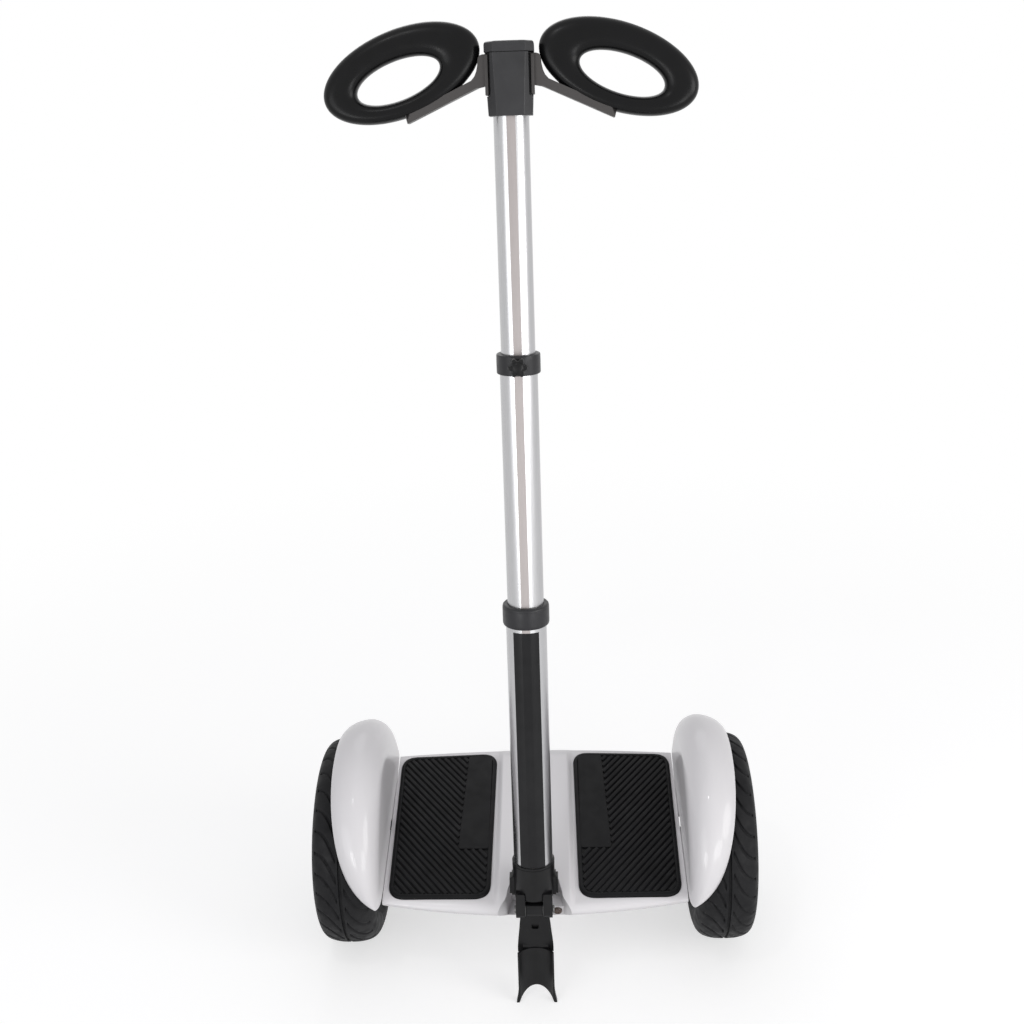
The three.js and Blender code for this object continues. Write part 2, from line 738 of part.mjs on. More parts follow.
function steeringBracket() {
  const rear = -chassis.halfDepth - gap;
  const pedestal = box([-bracket.halfWidth, bracket.front, floorSeat],
    [bracket.halfWidth, rear, bracket.sill]);
  const frontWall = box([-bracket.halfWidth, bracket.front, bracket.sill - overrun],
    [bracket.halfWidth, bracket.front + bracket.frontWall, bracket.top]);
  const rearWall = box([-bracket.halfWidth, rear - bracket.rearWall, bracket.sill - overrun],
    [bracket.halfWidth, rear, bracket.top]);
  const bore = rod('y', steer.shaftRadius + gap, bracket.front - overrun, rear + overrun, tubeSteps);
  const body = union(withinBelly(solid(pedestal)), solid(frontWall), solid(rearWall));
  return body.subtract(solid(bore.translate(0, 0, steer.height)));
}

function steeringSpring() {
  const from = bracket.front + bracket.frontWall + coil.wire + gap;
  const to = -chassis.halfDepth - gap - bracket.rearWall - coil.wire - gap;
  const radius = (steer.shaftRadius + gap) / Math.cos(Math.PI / coil.stepsPerTurn) + coil.wire;
  const count = coil.turns * coil.stepsPerTurn;
  const sections = [];
  for (let i = 0; i <= count; i += 1) {
    const turn = (i / coil.stepsPerTurn) * 2 * Math.PI;
    const out = new THREE.Vector3(Math.cos(turn), 0, Math.sin(turn));
    const centre = out.clone().multiplyScalar(radius);
    centre.y = from + ((to - from) * i) / count;
    centre.z += steer.height;
    const section = [];
    for (let j = 0; j < coil.sides; j += 1) {
      const roll = (j / coil.sides) * 2 * Math.PI;
      const point = centre.clone().addScaledVector(out, coil.wire * Math.cos(roll));
      point.y += coil.wire * Math.sin(roll);
      section.push(point);
    }
    sections.push(section);
  }
  return solid(sweptRing(sections, false));
}

function chargeSocket() {
  const wallOuter = rearLine(0);
  const body = solid(rod('y', socket.radius, wallOuter - socket.depth, wallOuter - gap, axle.steps));
  const inside = wallOuter - deck.wall - gap - socket.standOff;
  const flange = solid(rod('y', socket.flange, inside - socket.flangeThickness, inside, axle.steps));
  const bore = solid(rod('y', socket.bore, wallOuter - socket.depth / 2, wallOuter + overrun, axle.steps));
  return solid(geometryOf(body.add(flange).subtract(bore)).translate(0, 0, socket.height));
}

function chargeCover() {
  const from = rearLine(0) + gap;
  const disc = rod('y', flap.radius, from, from + flap.thickness, axle.steps).translate(0, 0, socket.height);
  const pivot = [0, flapPivotY, socket.height + flap.pivotUp];
  const beside = [-1, 1].map((side) => {
    const edges = [side * flap.halfWidth, side * (flap.radius + overrun)];
    const shoulder = Math.hypot(flap.lugSize, flap.lugSize) + gap;
    const low = [Math.min(...edges), from - overrun, pivot[2] - shoulder];
    return solid(box(low, [Math.max(...edges), from + flap.thickness + overrun, pivot[2] + flap.radius]));
  });
  const reach = flap.halfWidth + gap + flap.lug;
  const pin = solid(rod('x', flap.trunnion, -reach, reach, bearing.steps).translate(...pivot));
  const above = box([-flap.radius, from - overrun, pivot[2] + flap.topUp],
    [flap.radius, from + flap.thickness + overrun, pivot[2] + flap.radius]);
  return solid(disc).subtract(beside[0]).subtract(beside[1]).subtract(solid(above)).add(pin);
}

// Column, in the vehicle frame: the casting that joins the steering shaft to the mast

const mastPlace = new THREE.Matrix4().makeRotationX(-mastLean).setPosition(0, mast.baseY, mast.baseZ);
const ontoMast = (geometry) => solid(geometry.applyMatrix4(mastPlace));

function steeringFork() {
  const shaft = rod('y', steer.shaftRadius, steer.hubFront + overrun, steer.shaftRear, tubeSteps);
  const hub = rod('y', steer.hubRadius, steer.hubFront, pocket.rear - gap - gap, tubeSteps);
  const neck = ontoMast(rod('z', fork.neck, fork.neckBottom, fork.spigotBottom + overrun, tubeSteps));
  const cutFront = ontoMast(box([-sleeve.outer, -sleeve.outer, fork.neckBottom - overrun],
    [sleeve.outer, fork.neckFront, fork.spigotBottom]));
  const spigot = ontoMast(rod('z', fork.spigot, fork.spigotBottom + gap, fork.spigotTop, tubeSteps));
  const pinBores = [-1, 1].map((side) => {
    const edges = [side * (release.pinReach - release.travel - gap), side * sleeve.outer];
    const bore = rod('x', release.pin + gap, Math.min(...edges), Math.max(...edges), post.steps);
    return ontoMast(bore.translate(0, 0, release.pinHeight));
  });
  const body = union(solid(shaft.translate(0, 0, steer.height)), solid(hub.translate(0, 0, steer.height)),
    neck.subtract(cutFront), spigot);
  return body.subtract(pinBores[0]).subtract(pinBores[1]);
}

// Column, in the mast frame

function columnSleeve() {
  const rimRadius = sleeve.outer - sleeve.rimInset;
  const body = solid(turned('z', [
    [sleeve.bottom, 0], [sleeve.bottom, rimRadius], [sleeve.bottom + sleeve.rimHeight, sleeve.outer],
    [sleeve.top - sleeve.rimHeight, sleeve.outer], [sleeve.top, rimRadius], [sleeve.top, 0],
  ], tubeSteps));
  const bossCorners = [[-sideBoss.halfWidth, sideBoss.bottom], [sideBoss.halfWidth, sideBoss.bottom],
    [sideBoss.halfWidth, sideBoss.top], [-sideBoss.halfWidth, sideBoss.top]];
  const bossOutline = roundedOutline(bossCorners, sideBoss.cornerRadius, sideBoss.cornerSteps);
  const boss = solid(sidePrism(bossOutline, -sideBoss.reach, sideBoss.reach));
  const ears = [-1, 1].map((side) => {
    const edges = [side * ear.inner, side * ear.outer];
    const outline = earOutline();
    return solid(sidePrism(outline, Math.min(...edges), Math.max(...edges)));
  });
  let part = union(body, boss, ...ears);
  const between = box([-ear.inner, -sleeve.outer - sleeve.outer, -sleeve.bottom],
    [ear.inner, sleeve.outer + sleeve.outer, sleeve.bottom]);
  const spigotBore = rod('z', sleeve.bore, sleeve.bottom - overrun, lowerTube.bottom, tubeSteps);
  const tubeSeat = rod('z', lowerTube.outer + gap, lowerTube.bottom - gap, sleeve.top + overrun, tubeSteps);
  part = part.subtract(solid(between)).subtract(solid(spigotBore)).subtract(solid(tubeSeat));
  const window = release.halfWidth + release.wall;
  const floor = release.reach - release.thickness - release.travel - gap;
  const low = sideBoss.bottom + (sideBoss.halfWidth - window);
  const high = sideBoss.top - (sideBoss.halfWidth - window);
  [-1, 1].forEach((side) => {
    const edges = [side * floor, side * (release.reach + overrun)];
    part = part.subtract(solid(box([Math.min(...edges), -window, low], [Math.max(...edges), window, high])));
    const pinEdges = [0, side * release.reach];
    const hole = rod('x', release.pin + gap, Math.min(...pinEdges), Math.max(...pinEdges), post.steps);
    part = part.subtract(solid(hole.translate(0, 0, release.pinHeight)));
  });
  return part.subtract(solid(rod('x', hinge.pin + gap, -sleeve.outer, sleeve.outer, axle.steps)
    .translate(0, -hinge.forward, hinge.up)));
}

// The ear drops from the sleeve's wall to a round end about the hinge.
function earOutline() {
  const points = [[ear.rear, ear.top], [-sleeve.outer + overrun, ear.top]];
  const steps = 8;
  for (let i = 0; i <= steps; i += 1) {
    const angle = Math.PI * (i / steps);
    points.push([-hinge.forward - ear.radius * Math.cos(angle), hinge.up - ear.radius * Math.sin(angle)]);
  }
  return points;
}

function releaseButton(side) {
  const window = release.halfWidth;
  const inset = sideBoss.halfWidth - release.halfWidth;
  const edges = [side * (release.reach - release.thickness), side * release.reach];
  const low = sideBoss.bottom + inset;
  const high = sideBoss.top - inset;
  const cap = solid(box([Math.min(...edges), -window, low], [Math.max(...edges), window, high]));
  const pinEdges = [side * release.pinReach, side * (release.reach - gap)];
  const pin = rod('x', release.pin, Math.min(...pinEdges), Math.max(...pinEdges), post.steps);
  return cap.add(solid(pin.translate(0, 0, release.pinHeight)));
}

function labelBand() {
  const inner = lowerTube.outer + label.standOff;
  const outline = [];
  [inner + label.thickness, inner].forEach((radius, layer) => {
    for (let i = 0; i <= label.steps; i += 1) {
      const share = layer === 0 ? i / label.steps : 1 - i / label.steps;
      const angle = -label.halfAngle + 2 * label.halfAngle * share;
      outline.push([radius * Math.sin(angle), -radius * Math.cos(angle)]);
    }
  });
  return solid(prism(outline, label.bottom, label.top));
}

function lowerCollar() {
  const shoulder = lowerTube.top + gap;
  const lipBore = middleTube.outer + gap;
  const tubeBore = lowerTube.outer + gap;
  const { outer, bottom, top, rounding } = ring;
  return solid(turned('z', [
    [bottom, tubeBore], [bottom, outer - rounding], [bottom + rounding, outer], [top - rounding, outer],
    [top, outer - rounding], [top, lipBore], [shoulder, lipBore], [shoulder, tubeBore],
  ], tubeSteps));
}

function guideBush(tube, host) {
  const outer = host.inner - bush.play;
  const shoulder = tube.bottom - gap;
  const plug = tube.inner - bush.play;
  const bore = plug - bush.wall;
  return solid(turned('z', [
    [shoulder - bush.length, bore], [shoulder - bush.length, outer], [shoulder, outer], [shoulder, plug],
    [tube.bottom + bush.plug, plug], [tube.bottom + bush.plug, bore],
  ], bush.steps));
}

// The clamp collar slips over the middle tube's end. Its front lug holds the nut for the knob's screw.
function clampCollar() {
  const { outer, bottom, top, lugHalf, lugReach, rounding } = collar;
  const body = solid(turned('z', [
    [bottom, 0], [bottom, outer - rounding], [bottom + rounding, outer], [top - rounding, outer],
    [top, outer - rounding], [top, 0],
  ], tubeSteps));
  const lug = solid(box([-lugHalf, -lugReach, bottom + rounding], [lugHalf, 0, top - rounding]));
  const lipBore = solid(rod('z', upperTube.outer + gap, bottom - overrun, top + overrun, tubeSteps));
  const tubeBore = solid(rod('z', middleTube.outer + gap, bottom - overrun, middleTube.top + gap, tubeSteps));
  const screwBore = rod('y', clampBolt.radius + gap, -lugReach - overrun, 0, axle.steps);
  const nutHalf = clampBolt.nutHalf + gap;
  const nutPocket = box([-nutHalf, nutFront - gap, bottom - overrun],
    [nutHalf, nutFront + clampBolt.nutThickness + gap, knob.up + nutHalf]);
  return union(body, lug).subtract(lipBore).subtract(tubeBore)
    .subtract(solid(screwBore.translate(0, 0, knob.up))).subtract(solid(nutPocket));
}

const nutFront = -collar.lugReach + clampBolt.nutInset;

function clampNut() {
  const nut = rod('y', clampBolt.nutHalf, nutFront, nutFront + clampBolt.nutThickness, clampBolt.hexSides);
  const bore = rod('y', clampBolt.radius + gap / 2, nutFront - overrun, 0, axle.steps);
  return solid(nut.translate(0, 0, knob.up)).subtract(solid(bore.translate(0, 0, knob.up)));
}

const knobBack = -collar.lugReach - gap;

// The star knob: an outline whose radius rises at each lobe, with a domed middle.
function clampKnob() {
  const outline = [];
  const count = knob.lobes * knob.pointsPerLobe;
  for (let i = 0; i < count; i += 1) {
    const angle = (i / count) * 2 * Math.PI;
    const radius = knob.reach - (knob.lobe / 2) * (1 - Math.cos(angle * knob.lobes));
    outline.push([radius * Math.cos(angle), radius * Math.sin(angle)]);
  }
  const star = prism(outline, 0, knob.thickness);
  const dome = turned('z', [
    [0, 0], [0, knob.domeRadius], [knob.thickness, knob.domeRadius],
    [knob.thickness + knob.domeRise * knob.domeShare, knob.domeRadius * knob.domeShare],
    [knob.thickness + knob.domeRise, 0],
  ], axle.steps);
  const bore = rod('z', clampBolt.radius + gap / 2, -overrun, clampBolt.grip + gap, axle.steps);
  const body = union(solid(star), solid(dome)).subtract(solid(bore));
  return solid(geometryOf(body).rotateX(Math.PI / 2).translate(0, knobBack, knob.up));
}

function clampScrewRod() {
  const tip = -flatDistance(upperTube.outer) - gap;
  const screw = rod('y', clampBolt.radius, knobBack - clampBolt.grip, tip, axle.steps);
  return solid(screw.translate(0, 0, knob.up));
}

function middleTubeSolid() {
  const tube = flattedTube(middleTube);
  const hole = rod('y', clampBolt.radius + gap, -middleTube.outer - overrun, 0, axle.steps);
  return tube.subtract(solid(hole.translate(0, 0, knob.up)));
}

// Head, arms and grips

function headOutline(half, z) {
  const flat = half - head.chamfer;
  const corners = [[-flat, -half], [flat, -half], [half, -flat], [half, flat], [flat, half], [-flat, half],
    [-half, flat], [-half, -flat]];
  return corners.map(([x, y]) => new THREE.Vector3(x, y, z));
}

function headBody() {
  const outlines = [headOutline(head.bottomHalf, head.bottom), headOutline(head.topHalf, head.seam)];
  let body = solid(sweptRing(outlines, false));
  const seat = rod('z', upperTube.outer + gap, head.bottom - overrun, upperTube.top + gap, tubeSteps);
  body = body.subtract(solid(seat));
  const reach = head.topHalf + overrun;
  [-1, 1].forEach((side) => {
    const cut = (floor, front, rear) => {
      const edges = [side * floor, side * reach];
      const low = [Math.min(...edges), front, slot.bottom];
      return solid(box(low, [Math.max(...edges), rear, head.seam + overrun]));
    };
    body = body.subtract(cut(slot.floor, -reach, slot.rear));
    body = body.subtract(cut(slot.frontFloor, -reach, slot.step));
    const edges = [side * armScrew.tip, side * reach];
    const hole = rod('x', armScrew.radius + gap, Math.min(...edges), Math.max(...edges), post.steps);
    body = body.subtract(solid(hole.translate(0, armScrew.rear, armScrew.up)));
  });
  return body;
}

function headCap() {
  return solid(sweptRing([
    headOutline(head.topHalf, head.seam + gap),
    headOutline(head.topHalf, head.capTop - head.capRound),
    headOutline(head.topHalf - head.capRound / 2, head.capTop - head.capRound / 3),
    headOutline(head.topHalf - head.capRound, head.capTop),
  ], false));
}

// An oval ring with its hole set outward, and a rounded section whose width is what lies between the two.
function gripLoop(side, grow) {
  const along = new THREE.Vector3(Math.cos(grip.droop), 0, -Math.sin(grip.droop));
  const across = new THREE.Vector3(Math.sin(grip.droop), 0, Math.cos(grip.droop));
  const sections = [];
  for (let i = 0; i < grip.steps; i += 1) {
    const turn = (i / grip.steps) * 2 * Math.PI;
    const [c, s] = [Math.cos(turn), Math.sin(turn)];
    const outer = new THREE.Vector3(grip.centreOut, 0, grip.centreUp)
      .addScaledVector(along, (grip.long + grow) * c).addScaledVector(across, (grip.short + grow) * s);
    const inner = new THREE.Vector3(grip.holeOut, 0, grip.holeUp)
      .addScaledVector(along, (grip.holeLong - grow) * c)
      .addScaledVector(across, (grip.holeShort - grow) * s);
    const middle = outer.clone().add(inner).multiplyScalar(0.5);
    const half = outer.clone().sub(middle);
    const section = [];
    for (let j = 0; j < grip.sides; j += 1) {
      const roll = ((j + 0.5) / grip.sides) * 2 * Math.PI;
      const squared = (value) => Math.sign(value) * Math.abs(value) ** grip.squareShare;
      const point = middle.clone().addScaledVector(half, squared(Math.cos(roll)));
      point.y += (grip.halfDepth + grow) * squared(Math.sin(roll));
      section.push(point.setX(side * point.x));
    }
    sections.push(section);
  }
  return solid(sweptRing(sections, true));
}

function handleArm(side) {
  const flangeEdges = [side * (slot.floor + gap), side * (slot.floor + gap + arm.thickness)];
  const flange = box([Math.min(...flangeEdges), arm.front, arm.bottom],
    [Math.max(...flangeEdges), arm.rear, arm.top]);
  const root = slot.floor + gap + arm.thickness / 2;
  const lower = [arm.elbowOut - arm.barThickness / 2, arm.elbowUp - arm.barThickness];
  const outline = [
    [root, arm.top], [arm.shoulderOut - arm.corner, arm.top], [arm.shoulderOut, arm.top - arm.corner],
    [arm.shoulderOut, arm.shoulderUp], [arm.elbowOut, arm.elbowUp], [arm.endOut, arm.endUp],
    [arm.endOut - arm.endInset, arm.endUp - arm.barThickness], lower, [root, arm.webBottom],
  ];
  const web = prism(outline.map(([x, z]) => [side * x, z]), -arm.barHalf, arm.barHalf).rotateX(Math.PI / 2);
  const accessEdges = [side * (slot.floor + gap + arm.thickness), side * (arm.shoulderOut + overrun)];
  const access = box([Math.min(...accessEdges), arm.webRear, arm.bottom - overrun],
    [Math.max(...accessEdges), arm.barHalf + overrun, arm.top + overrun]);
  const holeEdges = [0, side * arm.shoulderOut];
  const hole = rod('x', armScrew.radius + gap, Math.min(...holeEdges), Math.max(...holeEdges), post.steps)
    .translate(0, armScrew.rear, armScrew.up);
  const body = union(solid(flange), solid(web).subtract(solid(access)));
  return body.subtract(solid(hole)).subtract(gripLoop(side, gap));
}

function armScrewSolid(side) {
  const seat = slot.floor + gap + arm.thickness + gap;
  const shankEdges = [side * (armScrew.tip + gap), side * (seat + gap)];
  const headEdges = [side * seat, side * (seat + armScrew.headHeight)];
  const shank = rod('x', armScrew.radius, Math.min(...shankEdges), Math.max(...shankEdges), post.steps);
  const top = rod('x', armScrew.headRadius, Math.min(...headEdges), Math.max(...headEdges), post.steps);
  const place = [0, armScrew.rear, armScrew.up];
  return solid(shank.translate(...place)).add(solid(top.translate(...place)));
}

// Stand, drawn in the mast frame where it hangs parked, then moved so that its group turns about the hinge

const vehiclePlace = new THREE.Matrix4().makeRotationX(parkedTilt).setPosition(0, 0, tyre.radius);
const floorInMast = new THREE.Matrix4().multiplyMatrices(vehiclePlace, mastPlace).invert();

function standLeg() {
  const barrel = rod('x', hinge.barrel, -hinge.barrelHalf, hinge.barrelHalf, tubeSteps)
    .translate(0, -hinge.forward, hinge.up);
  const face = [
    [-plate.topHalf, plate.top], [-plate.waistHalf, plate.waist], [-plate.bottomHalf, plate.bottom],
    [plate.bottomHalf, plate.bottom], [plate.waistHalf, plate.waist], [plate.topHalf, plate.top],
  ];
  const blade = solid(prism(face, -plate.rear, -plate.front).rotateX(Math.PI / 2));
  const web = sidePrism([
    [plate.rear, plate.gussetLow], [plate.rear, plate.top],
    [-hinge.forward + hinge.barrel * gusset.rearShare, hinge.up + hinge.barrel * gusset.upShare],
    [-hinge.forward, hinge.up], [gusset.front, gusset.low],
  ], -plate.topHalf, plate.topHalf);
  const axisY = -2 * hinge.forward;
  const section = [];
  [clip.inner + clip.wall, clip.inner].forEach((radius, layer) => {
    for (let i = 0; i <= clip.steps; i += 1) {
      const share = layer === 0 ? i / clip.steps : 1 - i / clip.steps;
      const angle = -clip.halfAngle + 2 * clip.halfAngle * share;
      section.push([radius * Math.sin(angle), axisY + radius * Math.cos(angle)]);
    }
  });
  const channel = solid(prism(section, clip.bottom, clip.top));
  const edgeOut = (clip.inner + clip.wall / 2) * Math.sin(clip.halfAngle);
  const edgeFront = axisY + clip.inner * Math.cos(clip.halfAngle);
  const prongs = [-1, 1].map((side) => {
    const outline = [
      [edgeOut - clip.wall / 2, clip.flareTop], [edgeOut + clip.flare, clip.flareTop - clip.flareRun],
      [edgeOut + clip.flare, clip.bottom], [edgeOut - clip.wall / 2, clip.bottom],
    ];
    const wedge = prism(outline.map(([x, z]) => [side * x, z]), -edgeFront - clip.prongDepth, -edgeFront);
    return solid(wedge.rotateX(Math.PI / 2));
  });
  const arch = [];
  const archHalf = edgeOut * clip.archShare;
  for (let i = 0; i <= clip.steps; i += 1) {
    const angle = Math.PI * (i / clip.steps);
    arch.push([archHalf * Math.cos(angle), clip.bottom + (clip.archTop - clip.bottom) * Math.sin(angle)]);
  }
  arch.push([-archHalf, clip.bottom - overrun], [archHalf, clip.bottom - overrun]);
  const archCut = prism(arch, 0, -axisY + clip.inner).rotateX(Math.PI / 2);
  const slotCut = box([-plateSlot.halfWidth, plate.front - overrun, plateSlot.centre - plateSlot.halfHeight],
    [plateSlot.halfWidth, plate.rear + overrun, plateSlot.centre + plateSlot.halfHeight]);
  const reach = track.overallWidth;
  const underFloor = box([-reach, -reach, -reach], [reach, reach, 0]).applyMatrix4(floorInMast);
  const bore = rod('x', hinge.pin + gap, -hinge.barrelHalf - overrun, hinge.barrelHalf + overrun, axle.steps)
    .translate(0, -hinge.forward, hinge.up);
  // Room for the sleeve, which the leg lies against when it is folded up
  const turnedUp = 2 * hinge.up + gap;
  const sleeveRoom = rod('z', sleeve.outer + gap, turnedUp - sleeve.top, turnedUp - sleeve.bottom, tubeSteps)
    .translate(0, axisY, 0);
  const leg = union(solid(barrel), blade, solid(web), channel, ...prongs).subtract(solid(archCut))
    .subtract(solid(slotCut)).subtract(solid(underFloor)).subtract(solid(bore)).subtract(solid(sleeveRoom));
  return solid(geometryOf(leg).translate(0, hinge.forward, -hinge.up));
}

function hingePin() {
  const outside = ear.outer + gap;
  const shank = rod('x', hinge.pin, -outside - gap, outside + gap, axle.steps);
  const heads = [-1, 1].map((side) => {
    const edges = [side * outside, side * (outside + hinge.headHeight)];
    return solid(rod('x', hinge.head, Math.min(...edges), Math.max(...edges), axle.steps));
  });
  return solid(geometryOf(union(solid(shank), ...heads)).translate(0, -hinge.forward, hinge.up));
}

// Wheels, each drawn about its own centre with X pointing out of the vehicle

function tyreSolid() {
  const t = tyre;
  const groove = t.radius - t.grooveDepth;
  const half = [
    [t.grooveHalf, t.radius], [t.crownHalf, t.radius - t.crownDrop], [t.shoulderHalf, t.shoulderRadius],
    [t.halfWidth, t.bulgeRadius], [t.beadHalf, t.beadTop],
    [t.beadHalf, t.beadRadius], [t.beadHalf - t.beadWidth, t.beadRadius],
    [t.halfWidth - t.wall, t.bulgeRadius],
  ];
  const mirrored = half.map(([x, r]) => [-x, r]).reverse();
  const inOut = [...half, [0, groove - t.wall], ...mirrored, [-t.grooveHalf, groove], [t.grooveHalf, groove]];
  return solid(turned('x', inOut, track.steps));
}

function rimSolid() {
  const { halfWidth, flangeTop, barrelInner, sideWall } = rim;
  const seat = tyre.beadRadius - gap;
  const flangeIn = tyre.beadHalf + gap;
  const hole = bearing.outer + gap / 2;
  return solid(turned('x', [
    [-halfWidth, hole], [-halfWidth, flangeTop], [-flangeIn, flangeTop], [-flangeIn, seat],
    [flangeIn, seat], [flangeIn, flangeTop], [halfWidth, flangeTop], [halfWidth, barrelInner],
    [-halfWidth + sideWall, barrelInner], [-halfWidth + sideWall, hole],
  ], track.steps));
}

const coverFace = rim.halfWidth - gap;
const outerBearingFrom = coverFace - cover.thickness - bearing.width - gap;

function hubCover() {
  const edge = rim.barrelInner - gap;
  const back = coverFace - cover.thickness;
  const hole = bearing.outer + gap / 2;
  return solid(turned('x', [
    [coverFace + cover.domeRise, 0], [coverFace + cover.domeRise, cover.domeRadius],
    [coverFace, cover.lipRadius], [coverFace, edge], [back, edge], [back, cover.bossRadius],
    [outerBearingFrom, cover.bossRadius], [outerBearingFrom, hole], [back, hole], [back, 0],
  ], track.steps));
}

function wheelBearing(from) {
  const inner = axle.radius + gap / 2;
  const to = from + bearing.width;
  const section = [[from, inner], [from, bearing.outer], [to, bearing.outer], [to, inner]];
  return solid(turned('x', section, bearing.steps));
}

function statorSolid() {
  const s = stator;
  const bore = axle.radius + gap;
  return solid(turned('x', [
    [-s.halfWidth, s.inner], [-s.halfWidth, s.outer], [s.halfWidth, s.outer], [s.halfWidth, s.inner],
    [s.webHalf, s.inner], [s.webHalf, bore], [-s.webHalf, bore], [-s.webHalf, s.inner],
  ], s.steps));
}

function axleSolid() {
  const tip = outerBearingFrom + bearing.width;
  const shaft = solid(rod('x', axle.radius, -axleReach, tip, axle.steps));
  const flatLength = clampOuter - clampInner;
  const flat = box([-axleReach - overrun, -axle.radius, axle.radius - axle.flatDepth],
    [-axleReach + flatLength, axle.radius, axle.radius + overrun]);
  return shaft.subtract(solid(flat));
}

function valveStem() {
  const from = rim.halfWidth + gap;
  const stem = rod('x', valve.radius, from, from + valve.length, valve.steps);
  return solid(stem.translate(0, 0, valve.placeRadius));
}

// Scene graph

const object = new THREE.Group();
const vehicle = new THREE.Group();
vehicle.rotation.x = parkedTilt;
vehicle.position.z = tyre.radius;
object.add(vehicle);

add(vehicle, 'deck_shell', deckShell(), 'whiteGloss');
add(vehicle, 'deck_belly', deckBelly(), 'whiteGloss');
add(vehicle, 'chassis_frame', chassisFrame(), 'greyMetal');
const batteryLeft = battery.sideInset - deckHalfWidth;
const batteryBlock = box([batteryLeft, battery.front, floorSeat],
  [-bracket.halfWidth - battery.bracketGap, -chassis.halfDepth - gap, battery.top]);
add(vehicle, 'battery_pack', withinBelly(solid(batteryBlock)), 'alloy');
add(vehicle, 'controller_board', controllerBoard(), 'green');
add(vehicle, 'steering_bracket', steeringBracket(), 'greyMetal');
add(vehicle, 'steering_spring', steeringSpring(), 'steel');
add(vehicle, 'steering_fork', steeringFork(), 'greyMetal');
add(vehicle, 'charge_socket', chargeSocket(), 'blackPlastic');
add(vehicle, 'charge_cover', chargeCover(), 'blackRubber');
const buttonRod = rod('y', button.radius, button.front, button.front + button.length, button.steps);
add(vehicle, 'power_button', solid(buttonRod.translate(button.centre, 0, button.height)), 'brownPlastic');

[['left', -1], ['right', 1]].forEach(([name, side]) => {
  add(vehicle, `${name}_axle_clamp`, axleClamp(side), 'greyMetal');
  add(vehicle, `${name}_fender`, fenderShell(side), 'whiteGloss');
  add(vehicle, `${name}_foot_pad`, footPad(side), 'blackRubber');
  add(vehicle, `${name}_foot_sensor`, footSensor(side), 'green');

  // The left wheel is the right one turned half round, so that its X points out too.
  const hub = new THREE.Group();
  hub.position.x = side * wheelCentre;
  hub.rotation.set(-parkedTilt, 0, side > 0 ? 0 : Math.PI);
  vehicle.add(hub);
  add(hub, `${name}_axle`, axleSolid(), 'steel');
  add(hub, `${name}_stator`, statorSolid(), 'steel');
  add(hub, `${name}_rim`, rimSolid(), 'greyMetal');
  add(hub, `${name}_inner_bearing`, wheelBearing(-rim.halfWidth), 'steel');
  add(hub, `${name}_outer_bearing`, wheelBearing(outerBearingFrom), 'steel');
  add(hub, `${name}_hub_cover`, hubCover(), 'greyMetal');
  add(hub, `${name}_tyre`, tyreSolid(), 'blackRubber');
  add(hub, `${name}_valve_stem`, valveStem(), 'blackRubber');
});

const mastGroup = new THREE.Group();
mastGroup.rotation.x = -mastLean;
mastGroup.position.set(0, mast.baseY, mast.baseZ);
vehicle.add(mastGroup);
add(mastGroup, 'column_sleeve', columnSleeve(), 'blackPlastic');
add(mastGroup, 'left_release_button', releaseButton(-1), 'blackPlastic');
add(mastGroup, 'right_release_button', releaseButton(1), 'blackPlastic');
add(mastGroup, 'lower_tube', flattedTube(lowerTube), 'alloy');
add(mastGroup, 'label_band', labelBand(), 'blackPlastic');
add(mastGroup, 'lower_collar', lowerCollar(), 'blackPlastic');
add(mastGroup, 'hinge_pin', hingePin(), 'steel');
add(mastGroup, 'middle_tube', middleTubeSolid(), 'alloy');
add(mastGroup, 'middle_guide_bush', guideBush(middleTube, lowerTube), 'blackPlastic');
add(mastGroup, 'clamp_collar', clampCollar(), 'blackPlastic');
add(mastGroup, 'clamp_nut', clampNut(), 'steel');
add(mastGroup, 'clamp_knob', clampKnob(), 'blackPlastic');
add(mastGroup, 'clamp_screw', clampScrewRod(), 'steel');
add(mastGroup, 'upper_tube', flattedTube(upperTube), 'alloy');
add(mastGroup, 'upper_guide_bush', guideBush(upperTube, middleTube), 'blackPlastic');
add(mastGroup, 'head_body', headBody(), 'greyPlastic');
add(mastGroup, 'head_cap', headCap(), 'greyPlastic');
add(mastGroup, 'left_arm', handleArm(-1), 'greyMetal');
add(mastGroup, 'right_arm', handleArm(1), 'greyMetal');
add(mastGroup, 'left_arm_screw', armScrewSolid(-1), 'steel');
add(mastGroup, 'right_arm_screw', armScrewSolid(1), 'steel');
add(mastGroup, 'left_grip_loop', gripLoop(-1, 0), 'blackRubber');
add(mastGroup, 'right_grip_loop', gripLoop(1, 0), 'blackRubber');

const standGroup = new THREE.Group();
standGroup.position.set(0, -hinge.forward, hinge.up);
mastGroup.add(standGroup);
add(standGroup, 'stand_leg', standLeg(), 'blackPlastic');

// The origin lies on the floor under the middle of the object's box.
const bounds = new THREE.Box3().setFromObject(object, true);
vehicle.position.y = -(bounds.min.y + bounds.max.y) / 2;

export default object;
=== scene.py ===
import json
from math import asin, copysign, cos, hypot, pi as PI, radians, sin

import bmesh
import bpy
from mathutils import Matrix, Vector


